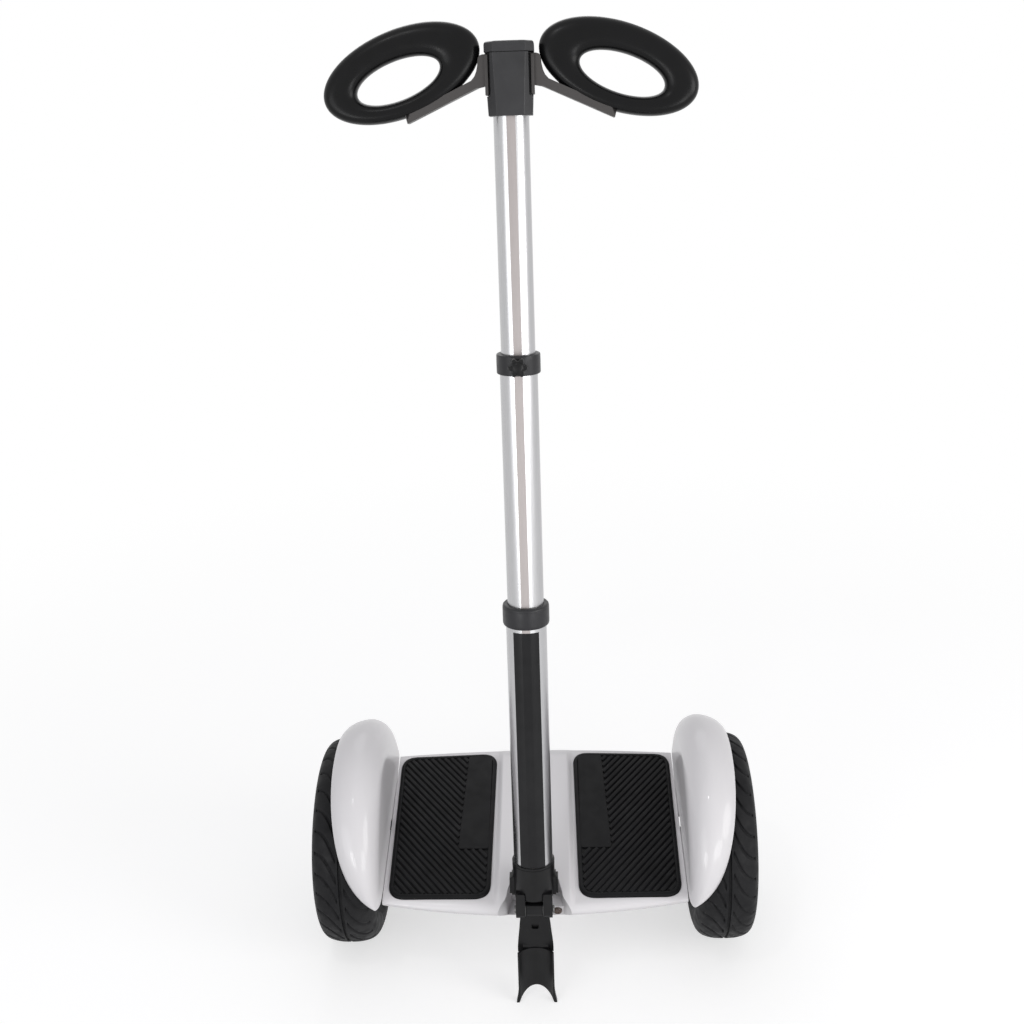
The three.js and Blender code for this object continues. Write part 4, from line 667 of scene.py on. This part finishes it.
def tread_depth(across, turn_share):
    """How deep the tread is cut at a place across the tyre and round it, in shares of the groove depth."""
    reach = abs(across)
    if reach < TREAD_HALF:
        return 1
    if not TREAD_START < reach < TREAD_END:
        return 0
    pitch, width = 2 * PI * TYRE_RADIUS / TREAD_COUNT, TREAD_END - TREAD_START
    left = 1 - (reach - TREAD_START) / width
    lag = TREAD_LAG * (1 - left ** 2)
    phase = (turn_share * TREAD_COUNT - copysign(lag, across) + (0.5 if across < 0 else 0)) % 1
    off = min(phase, 1 - phase) * pitch / hypot(1, 2 * TREAD_LAG * left * pitch / width)
    return 0.8 * max(0, 1 - (off / TREAD_HALF) ** 2) ** 0.5


def build_tyre(side, name):
    crown = spline([(0, TYRE_RADIUS), (6, 128.9), (12, 128.5), (18, 127.5), (24, 125.8), (29, 123.2),
                    (33, 119), (35.8, 113), (37.3, 106), (37.2, 100), (35, 95), (30, 91.6), (25.9, 90.4)], 3)
    half = []
    for x in [0.0, 1.6, 2.0] + [i * 0.9 + 2.4 for i in range(33)]:
        for (xa, ra), (xb, rb) in zip(crown, crown[1:]):
            if xa <= x <= xb and x < TREAD_END:
                half.append((x, ra + (rb - ra) * (x - xa) / (xb - xa)))
                break
    half += [p for p in crown if p[1] < 122 and p[0] > 31] + [(25.7, 84), (18.7, 84)]
    steps = TREAD_COUNT * TREAD_STEPS
    rings = []
    for x, r in [(-x, r) for x, r in reversed(half)] + half[1:]:
        cuts = [TREAD_DEEP * tread_depth(x, i / steps) if r > 116 else 0 for i in range(steps)]
        rings.append([turn("x", x, r - cut, 2 * PI * i / steps) for i, cut in enumerate(cuts)])
    tyre = new_object(name + "_form", loft(rings, caps=False), hub_place(side))
    dress(tyre, name.replace("tyre", "wheel"), "tyre", 0, angle=42)


def build_wheel(side, name):
    place, body = hub_place(side), f"{name}_wheel"
    build_tyre(side, f"{name}_tyre")
    rim = lathe("x", [(-28.5, 16.9), (-28.5, 60), (-27, 64), (-27, 74), (-28.5, 79), (-28.5, 87),
                      (-27.6, 88.5), (-26, 88.5), (-26, 83.7), (26, 83.7), (26, 88.5), (27.6, 88.5),
                      (28.5, 87.4), (28.5, 77), (27.6, 76), (-22, 76), (-22, 16.9)], 128)
    rim = new_object(f"{name}_rim_form", rim, place)
    dress(rim, body, "wheel", 0.5)
    cover = lathe("x", [(31.2, 0), (31.2, 19), (29.6, 22.5), (28.4, 26), (28.2, 58), (27.2, 60), (27.2, 62.5),
                        (28.2, 64.5), (28.2, 74.4), (27, 75.7), (25.2, 75.7), (25.2, 21), (16.9, 21),
                        (16.9, 16.9), (25.2, 16.9), (25.2, 0)], 128)
    cover = new_object(f"{name}_hub_cover_form", cover, place)
    dishes = []
    for k in range(6):
        spin = 2 * PI * (k + 0.5) / 6
        c, s = cos(spin), sin(spin)
        dish = rounded([(29, -9), (53, -15), (53, 15), (29, 9)], 4, 5)
        dishes.append(prism([(r * c - t * s, r * s + t * c) for r, t in dish], 27.2, 33, "x"))
    combine(cover, dishes)
    dress(cover, body, "wheel", 0.6)
    for k in range(6):
        at = turn("x", 28.1, 69.5, 2 * PI * k / 6)
        screw(f"{name}_cover_screw_{k}", place, at, "x", 1, 2.6, 1.3, body)
    stem = lathe("x", [(28.8, 0), (28.8, 3), (31, 3), (31.4, 2.3), (34.6, 2.3), (35.4, 2.7), (35.8, 2),
                       (35.8, 0)], 32)
    stem = new_object(f"{name}_valve_stem_form", shifted(stem, z=82), place)
    dress(stem, body, "pad", 0)


# Mast: tubes, collars and the knob

LOWER_TUBE, MIDDLE_TUBE, UPPER_TUBE, FLAT_HALF = 23.5, 21, 19, 4.75
KNOB_UP, NUT_FRONT, KNOB_BACK = 672.4, -28.5, -29.8


def tube_outline(radius, grow=0, low=-PI, high=PI, arc=40):
    """Angles start at the front, and the front and rear have a flat."""
    edge = asin(FLAT_HALF / (radius - grow))
    flat = (radius - grow) * cos(edge) + grow
    marks = (edge - PI, -edge, edge, PI - edge, low, high)
    angles = {a for a in marks if low <= a <= high and abs(a) < PI}
    span = [low + (high - low) * i / (2 * arc) for i in range(2 * arc + 1)]
    angles |= {a for a in span if edge < abs(a) < PI - edge}
    return [(radius * sin(a), max(-flat, min(-radius * cos(a), flat))) for a in sorted(angles)]


def build_tube(name, body, outer, inner, bottom, top, holes=(), chamfer=0.5):
    ring = tube_outline(outer)
    small = [(x * (1 - chamfer / outer), y * (1 - chamfer / outer)) for x, y in ring]
    bore = [(x * inner / hypot(x, y), y * inner / hypot(x, y)) for x, y in ring]
    levels = [(small, bottom), (ring, bottom + chamfer), (ring, top - chamfer), (small, top), (bore, top),
              (bore, bottom)]
    rings = [[(x, y, z) for x, y in points] for points, z in levels]
    tube = mast_object(name + "_form", loft(rings, caps=False))
    combine(tube, holes)
    dress(tube, body, "tube flat", 0, angle=9)
    # The front and rear flats take the darker alloy, whose tone is painted shade.
    for face in tube.data.polygons:
        if abs(face.normal.y) > 0.999 and abs(face.center.x) < (FLAT_HALF + 0.01) * MM:
            face.material_index = 1


def build_tubes():
    build_tube("lower_tube", "column", LOWER_TUBE, 21.7, 30, 388)
    screw_hole = shifted(rod("y", 2.8, -22, 0, 32), z=KNOB_UP)
    build_tube("middle_tube", "middle_mast", MIDDLE_TUBE, 19.5, 192, 679, [screw_hole])
    build_tube("upper_tube", "upper_mast", UPPER_TUBE, 17, 502, 990)
    wide = radians(38)
    outside, under = (tube_outline(LOWER_TUBE + over, over, -wide, wide, 20) for over in (0.47, 0.12))
    band = mast_object("label_band_form", prism(outside + under[::-1], 64.6, 363))
    dress(band, "column", "label", 0, angle=9)


def build_collars():
    ring = lathe("z", [(367.6, 23.8), (367.6, 25.4), (368.4, 26.4), (370, 26.9), (372.2, 27), (388.2, 27),
                       (388.8, 26.6), (389.4, 26.9), (391, 26.5), (392, 25.6), (392.4, 24.4), (392.4, 21.3),
                       (388.3, 21.3), (388.3, 23.8)], 128)
    ring = mast_object("lower_collar_form", ring)
    dress(ring, "collar", "collar", 0, angle=50)

    clamp = lathe("z", [(661, 19.3), (661, 23), (661.6, 24), (662.8, 24.4), (681.6, 24.4), (682.8, 24),
                        (683.4, 23), (683.4, 19.3)], 128)
    clamp = mast_object("clamp_collar_form", clamp)
    lug = prism(rounded(rectangle(-8, -29.5, 8, -18), 2.2, 4), 662.5, 681.9)
    combine(clamp, [lug], "UNION")
    cuts = [lathe("z", [(660, 0), (660, 21.3), (679.3, 21.3), (679.3, 19.3), (684, 19.3), (684, 0)], 128),
            shifted(rod("y", 2.8, -31, 0, 32), z=KNOB_UP),
            block((-4.9, NUT_FRONT - GAP, 660), (4.9, NUT_FRONT + 3.5, KNOB_UP + 4.9)),
            block((-0.9, 19, 660), (0.9, 26, 684))]
    combine(clamp, cuts)
    dress(clamp, "middle_mast", "collar", 0.5, 2, 40)


def build_knob():
    """A star with six lobes and a domed face."""
    outline = []
    for i in range(144):
        angle = 2 * PI * i / 144
        radius = 11 - 1.75 * (1 - cos(angle * 6)) ** 1.15 * 0.93
        outline.append((radius * cos(angle), radius * sin(angle)))
    rings = []
    for share, depth in ((0.93, 0), (1, 0.7), (1, 6.6), (0.96, 7.6), (0.88, 8)):
        rings.append([(x * share, -depth, y * share) for x, y in outline])
    star = mast_object("clamp_knob_form", shifted(loft(rings), y=KNOB_BACK, z=KNOB_UP))
    dome = lathe("y", [(-6, 0), (-6, 6.8), (-8.8, 6.6), (-10, 5.4), (-10.5, 3.6), (-10.6, 0)], 64)
    combine(star, [shifted(dome, y=KNOB_BACK, z=KNOB_UP)], "UNION")
    combine(star, [shifted(rod("y", 2.7, KNOB_BACK - 5.3, KNOB_BACK + 1, 32), z=KNOB_UP)])
    dress(star, "knob", "black", 0.25, 1, 40)


# Column foot: the sleeve, its buttons, the hinge and the casting under it

EAR_INSIDE, EAR_ROUND, RELEASE_UP, HINGE_BORE, RELEASE_BORE = 10.9, 10, 26, 3.3, 3.1


def build_sleeve():
    body = mast_object("column_sleeve_form", lathe("z", [
        (20, 0), (20, 24.7), (21, 25.4), (22, 25.5), (61, 25.5), (61.3, 25.1), (61.9, 25.1), (62.2, 25.6),
        (63.6, 25.6), (64.2, 25), (64.2, 0)], 128))
    boss = prism(rounded(rectangle(-9.5, 18.6, 9.5, 45), 5), -26.8, 26.8, "x")
    profile = [(-2, 30), (-24.5, 30), (-25, 17)]
    for i in range(1, 21):
        c, s = cos(PI * i / 20), sin(PI * i / 20)
        profile.append((-HINGE_FORWARD - EAR_ROUND * c, HINGE_UP - EAR_ROUND * s))
    ears = []
    for side in (-1, 1):
        front = prism(rounded(rectangle(side * EAR_INSIDE, -4, side * 22.5, 31), 4.5), -30, 0, "y")
        ear = mast_object("tool", prism(profile, *ends(side, EAR_INSIDE, 22), "x"))
        ears.append(combine(ear, [front], "INTERSECT"))
    combine(body, [boss, *ears], "UNION")
    cuts = [block((-EAR_INSIDE, -52, -20), (EAR_INSIDE, 52, 20)), block((-17, -4, -20), (17, 52, 20)),
            rod("z", 21.1, 19, 30, 96), rod("z", 23.8, 29.7, 66, 96)]
    for side in (-1, 1):
        cuts.append(side_block(side, 24.8, 30.4, (-7.3, 20.2), (7.3, 42.8)))
        cuts.append(shifted(rod("x", RELEASE_BORE, *ends(side, 0, 29.4), 32), z=RELEASE_UP))
    cuts.append(at_hinge(rod("x", HINGE_BORE, -26, 26, 32)))
    combine(body, cuts)
    dress(body, "column", "black", 0.45, 2, 40)


def build_release_button(side, name):
    cap = prism(rounded(rectangle(-7, 20.5, 7, 42.5), 2, 5), *ends(side, 26.6, 29.4), "x")
    cap = mast_object(f"{name}_release_button_form", cap)
    plunger = shifted(rod("x", 2.8, *ends(side, 17, 29.1), 32), z=RELEASE_UP)
    combine(cap, [plunger], "UNION")
    notches = [side_block(side, 28.9, 30, (-5.4, z), (5.4, z + 0.9)) for z in (28, 30.8, 33.6, 36.4)]
    combine(cap, notches)
    dress(cap, f"{name}_release", "black", 0.4)


def build_pin():
    half = [(22.3, 3), (22.3, 4.6), (23.2, 4.6), (24, 4.2), (24.4, 3), (24.4, 0)]
    pin = lathe("x", [(-along, radius) for along, radius in reversed(half)] + half, 48)
    pin = mast_object("hinge_pin_form", at_hinge(pin))
    socket = [(1.9 * cos(PI * k / 3) - HINGE_FORWARD, 1.9 * sin(PI * k / 3) + HINGE_UP)
              for k in range(6)]
    combine(pin, [prism(socket, *ends(side, 23.1, 25), "x") for side in (-1, 1)])
    dress(pin, "column", "dark_steel", 0.1, 1)
    for side, name in SIDES:
        low, high = ends(side, 10.3, 10.8)
        washer = lathe("x", [(low, 3.35), (low, 8.4), (high, 8.4), (high, 3.35)], 64)
        washer = mast_object(f"{name}_hinge_washer", at_hinge(washer))
        dress(washer, "column", "dark_steel", 0)


def build_fork():
    fork = vehicle_object("steering_fork_form", shifted(rod("y", 12, HUB_FRONT, -91.6, 96, 0.8), z=SHAFT_Z))
    shaft = vehicle_object("tool", shifted(rod("y", 9, HUB_FRONT + 1, -29, 96), z=SHAFT_Z))
    neck = mast_object("tool", rod("z", 15.5, -16, 21, 96))
    spigot = mast_object("tool", rod("z", 20.6, 20.3, 58, 96, 0.8))
    combine(neck, [block((-26, -26, -17), (26, -3, 20))])
    combine(fork, [shaft, neck, spigot], "UNION")
    bores = [shifted(rod("x", RELEASE_BORE, *ends(side, 15.2, 25.5), 32), z=RELEASE_UP) for side in (-1, 1)]
    combine(fork, [mast_object("tool", bore) for bore in bores])
    dress(fork, "column", "cast", 0.6, 2, 40)


# Stand, folded down. Its clip is a half pipe that lies on the lower tube when it is folded up.

CLIP_TOP, CLIP_END, CLIP_RADIUS, CLIP_WALL, CLIP_SPREAD = -51, -130, 24.6, 2.4, radians(55)
BLADE_FRONT, BLADE_BACK, ARCH_SHARE, ARCH_RISE = -9.8, -5.2, 1.09, 28
PRONG = ((-1.2, -95), (0.7, -99), (1.2, -105), (2.3, -112), (3.9, -120), (4.7, -128), (4.7, CLIP_END),
         (-1.2, CLIP_END))


def build_stand():
    stand = mast_object("stand_leg_form", at_hinge(rod("x", 8.8, -10.2, 10.2, 96, 0.7)))
    half = [(10.2, 2), (10.2, -4.8), (14.5, -5.6), (16.9, -7), (17.7, -9.5), (18.7, -18), (19.6, -28),
            (21, -40), (21.9, -50), (21.9, -57)]
    blade = prism([(-x, z) for x, z in half] + half[::-1], BLADE_FRONT, BLADE_BACK, "y")
    gusset = [(BLADE_BACK, -12), (BLADE_BACK, 2), (-11.4, 11.2), (-HINGE_FORWARD, HINGE_UP), (-13.4, -6)]
    clip_y = -2 * HINGE_FORWARD
    angles = [2 * CLIP_SPREAD * i / 40 - CLIP_SPREAD for i in range(41)]
    section = [(r * sin(way * a), clip_y + r * cos(a))
               for r, way in ((CLIP_RADIUS + CLIP_WALL, 1), (CLIP_RADIUS, -1)) for a in angles]
    edge_x = (CLIP_RADIUS + CLIP_WALL / 2) * sin(CLIP_SPREAD)
    edge_y = clip_y + CLIP_RADIUS * cos(CLIP_SPREAD)
    prongs = [prism([(side * (edge_x + out), z) for out, z in PRONG], edge_y, edge_y + 6, "y")
              for side in (-1, 1)]
    ledge = [(BLADE_BACK, -43), (-11.5, -49.5), (-11.5, -53.4), (BLADE_BACK, -53.4)]
    parts = [blade, prism(gusset, -10.2, 10.2, "x"), prism(section, CLIP_END, CLIP_TOP), *prongs,
             prism(ledge, -15.5, 15.5, "x")]
    combine(stand, parts, "UNION")
    wide = edge_x * ARCH_SHARE
    arch = [(wide * cos(PI * i / 40), CLIP_END + ARCH_RISE * sin(PI * i / 40)) for i in range(41)]
    arch += [(-wide, CLIP_END - 1), (wide, CLIP_END - 1)]
    slot = rounded(rectangle(-4.4, -26, 4.4, -18.6), 2.4, 5)
    cuts = [prism(arch, clip_y, 0, "y"), prism(slot, -12, -6.2, "y"),
            at_hinge(rod("x", HINGE_BORE, -18, 18, 32)),
            shifted(rod("z", 25.8, CLIP_TOP, -6.1, 96), y=clip_y)]
    ground = new_object("tool", block((-400, -400, -400), (400, 400, 0)), Matrix.Identity(4))
    combine(stand, [*cuts, ground])
    dress(stand, "stand", "black", 0.45, 2, 38)


# Head, arms and grips

ARM_SCREW_Y, ARM_SCREW_UP = 7, 978
LOOP_DROOP, LOOP_THICK, LOOP_STEPS, LOOP_SIDES = radians(20), 14, 120, 40
# Centre, half length and half height of the grip loop's rim and of its hole
LOOP_RIM, LOOP_HOLE = ((114, 0, 982.5), 87, 44.5), ((117.5, 0, 975.5), 46.5, 19.5)


def octagon(half, z, chamfer=9):
    flat = half - chamfer
    return [(x, y, z) for x, y in ((-flat, -half), (flat, -half), (half, -flat), (half, flat), (flat, half),
                                   (-flat, half), (-half, flat), (-half, -flat))]


def build_head():
    body = mast_object("head_body_form", loft([octagon(23.2, 936), octagon(26, 999.6)]))
    cuts = [rod("z", UPPER_TUBE + GAP, 935, 990.3, 96)]
    for side in (-1, 1):
        for floor, rear in ((22.2, 12), (20.2, -10)):
            cuts.append(side_block(side, floor, 27, (-27, 956), (rear, 1001)))
        cuts.append(shifted(rod("x", 1.8, *ends(side, 19.2, 27), 24), y=ARM_SCREW_Y, z=ARM_SCREW_UP))
    combine(body, cuts)
    dress(body, "upper_mast", "head", 0.6, 2, 30)
    cap = loft([octagon(25.6, 999.9), octagon(26, 1000.3), octagon(26, 1007.6), octagon(25.4, 1009.6),
                octagon(24, 1010.7), octagon(21.6, 1011, 8)])
    cap = mast_object("head_cap_form", cap)
    dress(cap, "upper_mast", "head", 0.35, 2, 30)


def grip_loop(side, grow):
    """A thick oval loop that droops outward."""
    along = Vector((cos(LOOP_DROOP), 0, -sin(LOOP_DROOP)))
    across = Vector((sin(LOOP_DROOP), 0, cos(LOOP_DROOP)))

    def on_oval(oval, more, angle):
        centre, length, height = oval
        return (Vector(centre) + along * (length + more) * cos(angle)
                + across * (height + more) * sin(angle))

    def squared(value):
        return copysign(abs(value) ** 0.8, value)
    rings = []
    for i in range(LOOP_STEPS):
        angle = 2 * PI * i / LOOP_STEPS
        outer, inner = on_oval(LOOP_RIM, grow, angle), on_oval(LOOP_HOLE, -grow, angle)
        middle = (outer + inner) / 2
        ring = []
        for j in range(LOOP_SIDES):
            roll = 2 * PI * (j + 0.5) / LOOP_SIDES
            point = middle + (outer - middle) * squared(cos(roll))
            point.y += (LOOP_THICK + grow) * squared(sin(roll))
            ring.append((side * point.x, point.y, point.z))
        rings.append(ring)
    return loft(rings, caps=False)


def build_arm(side, name):
    flange = rounded(rectangle(-15.5, 957.5, 11.6, 998.6), 1.5, 4)
    arm = mast_object(f"{name}_arm_form", prism(flange, *ends(side, 22.5, 25.7), "x"))
    outline = [(24.1, 998.6), (28, 998.6), (31, 997.6), (32.4, 995.6), (33, 993), (33.4, 988), (34.8, 981.5),
               (37, 976.6), (40.5, 972.6), (111, 939.6), (108.8, 931.1), (35.25, 964.7), (24.1, 967)]
    web = mast_object("tool", prism([(side * x, z) for x, z in outline], -11.6, 11.6, "y"))
    combine(web, [side_block(side, 25.7, 34, (2.6, 956), (13, 1000))])
    combine(arm, [web], "UNION")
    screw_hole = shifted(rod("x", 1.8, *ends(side, 0, 33), 24), y=ARM_SCREW_Y, z=ARM_SCREW_UP)
    combine(arm, [screw_hole, grip_loop(side, GAP)])
    dress(arm, "upper_mast", "arm", 0.5, 2, 35)
    at = side * 26, ARM_SCREW_Y, ARM_SCREW_UP
    screw(f"{name}_arm_screw_form", MAST, at, "x", side, 3, 1.4, "upper_mast")
    grip = mast_object(f"{name}_grip_loop_form", grip_loop(side, 0))
    dress(grip, "upper_mast", "grip", 0, angle=60)


# Small pieces of the deck

def build_power_button():
    knob = lathe("y", [(0.6, 0), (0, 1.6), (-0.1, 3.2), (0, 4.4), (0.7, 5.2), (6, 5.2), (6, 0)], 64)
    cap = vehicle_object("power_button_form", shifted(knob, BUTTON_X, BUTTON_FRONT, BUTTON_Z))
    dress(cap, "power_button", "brown", 0)


def build_charge_cover():
    rear = rear_line(0) + GAP
    disc = lathe("y", [(0, 0), (0, 11.4), (0.6, 12), (1.8, 12), (2.6, 11), (2.6, 8), (2.2, 7.4), (2.2, 0)])
    cover = vehicle_object("charge_cover_form", shifted(disc, y=rear, z=SOCKET_Z))
    cuts = [block((side * 10 - 3, rear - 1, -7.5), (side * 10 + 3, rear + 4, 2)) for side in (-1, 1)]
    cuts.append(block((-12, rear - 1, -2.7), (12, rear + 4, 2)))
    combine(cover, cuts)
    pin = shifted(rod("x", 1.3, -10.3, 10.3, 24), y=rear + 1.3, z=PIVOT_Z)
    tab = prism(rounded(rectangle(-4, -24.6, 4, -21.4), 1.3, 4), rear + 0.5, rear + 3.6, "y")
    combine(cover, [pin, tab], "UNION")
    dress(cover, "charge_cover", "pad", 0.25)


build_deck()
build_belly()
for side, name in SIDES:
    build_pad(side, f"{name}_foot_pad")
    build_fender(side, f"{name}_fender")
    build_wheel(side, name)
build_tubes()
build_collars()
build_knob()
build_sleeve()
for side, name in SIDES:
    build_release_button(side, name)
build_pin()
build_fork()
build_stand()
build_head()
for side, name in SIDES:
    build_arm(side, name)
build_power_button()
build_charge_cover()

# CAD nodes that keep their shape and get a finish
kept = {
    "cast": "chassis_frame steering_bracket left_axle_clamp right_axle_clamp",
    "battery": "battery_pack",
    "board": "controller_board left_foot_sensor right_foot_sensor",
    "dark_steel": "left_stator right_stator steering_spring",
    "steel": "left_axle right_axle left_inner_bearing left_outer_bearing right_inner_bearing "
             "right_outer_bearing clamp_nut clamp_screw left_arm_screw right_arm_screw",
    "black": "middle_guide_bush upper_guide_bush charge_socket",
}
for key, names in kept.items():
    for node in names.split():
        for holder in frame["nodes"][node].material_slots:
            holder.material = mats[key]

# Room: a pale floor, soft lamps and the photograph's camera. Its sizes are in metres.

def seen_by_eye(tree):
    """One where a camera, glossy or transmission ray arrives, and zero for the light on the object."""
    path = new_node(tree, "LightPath").outputs
    total = path["Is Camera Ray"]
    for key in ("Is Glossy Ray", "Is Transmission Ray"):
        most = new_node(tree, "Math", "MAXIMUM")
        tree.links.new(total, most.inputs[0])
        tree.links.new(path[key], most.inputs[1])
        total = most.outputs[0]
    return total


def build_world():
    world = bpy.data.worlds.new("studio")
    scene.world = world
    world.use_nodes = True
    tree = world.node_tree
    link = tree.links.new
    sky = tree.nodes["Background"]
    sky.inputs["Color"].default_value = (0.51, 0.51, 0.52, 1)
    white = new_node(tree, "Background", Color=(1, 1, 1, 1))
    blend = new_node(tree, "MixShader")
    link(seen_by_eye(tree), blend.inputs["Fac"])
    link(sky.outputs[0], blend.inputs[1])
    link(white.outputs[0], blend.inputs[2])
    link(blend.outputs[0], tree.nodes["World Output"].inputs["Surface"])


def build_floor(half=9, fade_start=0.5, fade_end=1.9):
    """A floor that shows shadows near the object's foot and is plain white farther out."""
    mesh = bpy.data.meshes.new("floor")
    mesh.from_pydata([(x, y, 0) for x, y in rectangle(-half, -half, half, half)], [], [[0, 1, 2, 3]])
    floor = add_object("floor", mesh)
    paper = bpy.data.materials.new("pale_floor")
    paper.use_nodes = True
    mesh.materials.append(paper)
    tree = paper.node_tree
    link = tree.links.new
    surface = tree.nodes["Principled BSDF"]
    surface.inputs["Roughness"].default_value = 0.9
    surface.inputs["Specular IOR Level"].default_value = 0
    distance = new_node(tree, "VectorMath", "LENGTH")
    link(new_node(tree, "TexCoord").outputs["Object"], distance.inputs[0])

    def fade_outward(near, far):
        fade = new_node(tree, "MapRange", From_Min=fade_start, From_Max=fade_end, To_Min=near, To_Max=far)
        fade.interpolation_type = "SMOOTHSTEP"
        link(distance.outputs["Value"], fade.inputs["Value"])
        return fade.outputs["Result"]
    link(fade_outward(0.6, 0.0), surface.inputs["Base Color"])
    glow = new_node(tree, "Emission")
    dim = new_node(tree, "Math", "MULTIPLY")
    link(seen_by_eye(tree), dim.inputs[0])
    link(fade_outward(0.55, 1.0), dim.inputs[1])
    link(dim.outputs[0], glow.inputs["Strength"])
    total = new_node(tree, "AddShader")
    link(surface.outputs[0], total.inputs[0])
    link(glow.outputs[0], total.inputs[1])
    link(total.outputs[0], tree.nodes["Material Output"].inputs["Surface"])


def lamp(name, place, target, size, power, color=(1, 1, 1)):
    light = bpy.data.lights.new(name, "AREA")
    light.shape = "DISK"
    light.size = size
    light.energy = power
    light.color = color
    obj = add_object(name, light)
    obj.location = place
    obj.rotation_euler = (Vector(target) - Vector(place)).to_track_quat("-Z", "Y").to_euler()


# The camera's place in the vehicle's frame, in millimetres, and its pitch, roll and yaw, in degrees
CAMERA_AT, CAMERA_ANGLES = (39.9, -1162.53, 1304.2), (31.187, 2.547, -2.349)


def build_camera():
    pitch, roll, yaw = (radians(a) for a in CAMERA_ANGLES)
    forward = Vector((sin(yaw) * cos(pitch), cos(yaw) * cos(pitch), -sin(pitch)))
    right = Vector((cos(yaw), -sin(yaw), 0))
    down = forward.cross(right)
    c, s = cos(roll), sin(roll)
    right, down = c * right + s * down, -s * right + c * down
    basis = Matrix((right, -down, -forward)).transposed().to_4x4()
    camera = add_object("camera", bpy.data.cameras.new("camera"))
    camera.matrix_world = VEHICLE @ Matrix.Translation(Vector(CAMERA_AT) * MM) @ basis
    camera.data.lens = 44.7
    camera.data.sensor_width = 36
    camera.data.shift_y = -0.0659
    scene.camera = camera


build_world()
build_floor()
lamp("key", (2.3, -1.3, 1.1), (0, 0, 0.45), 1.5, 24, (1, 0.99, 0.98))
lamp("fill", (-1.7, -1.9, 0.8), (0, 0, 0.3), 1.4, 9, (0.97, 0.98, 1))
lamp("low_right", (1.3, -2, 0.3), (0, 0, 0.12), 1, 12)
lamp("low_left", (-1, -2.1, 0.25), (0, 0, 0.12), 0.8, 10)
lamp("back", (-0.3, 1.6, 1.9), (0, 0, 0.4), 1.4, 5)
lamp("window", (-0.45, -0.9, 2.1), (0, 0, 0.1), 0.17, 1.6)
build_camera()
scene.view_settings.view_transform = "Standard"
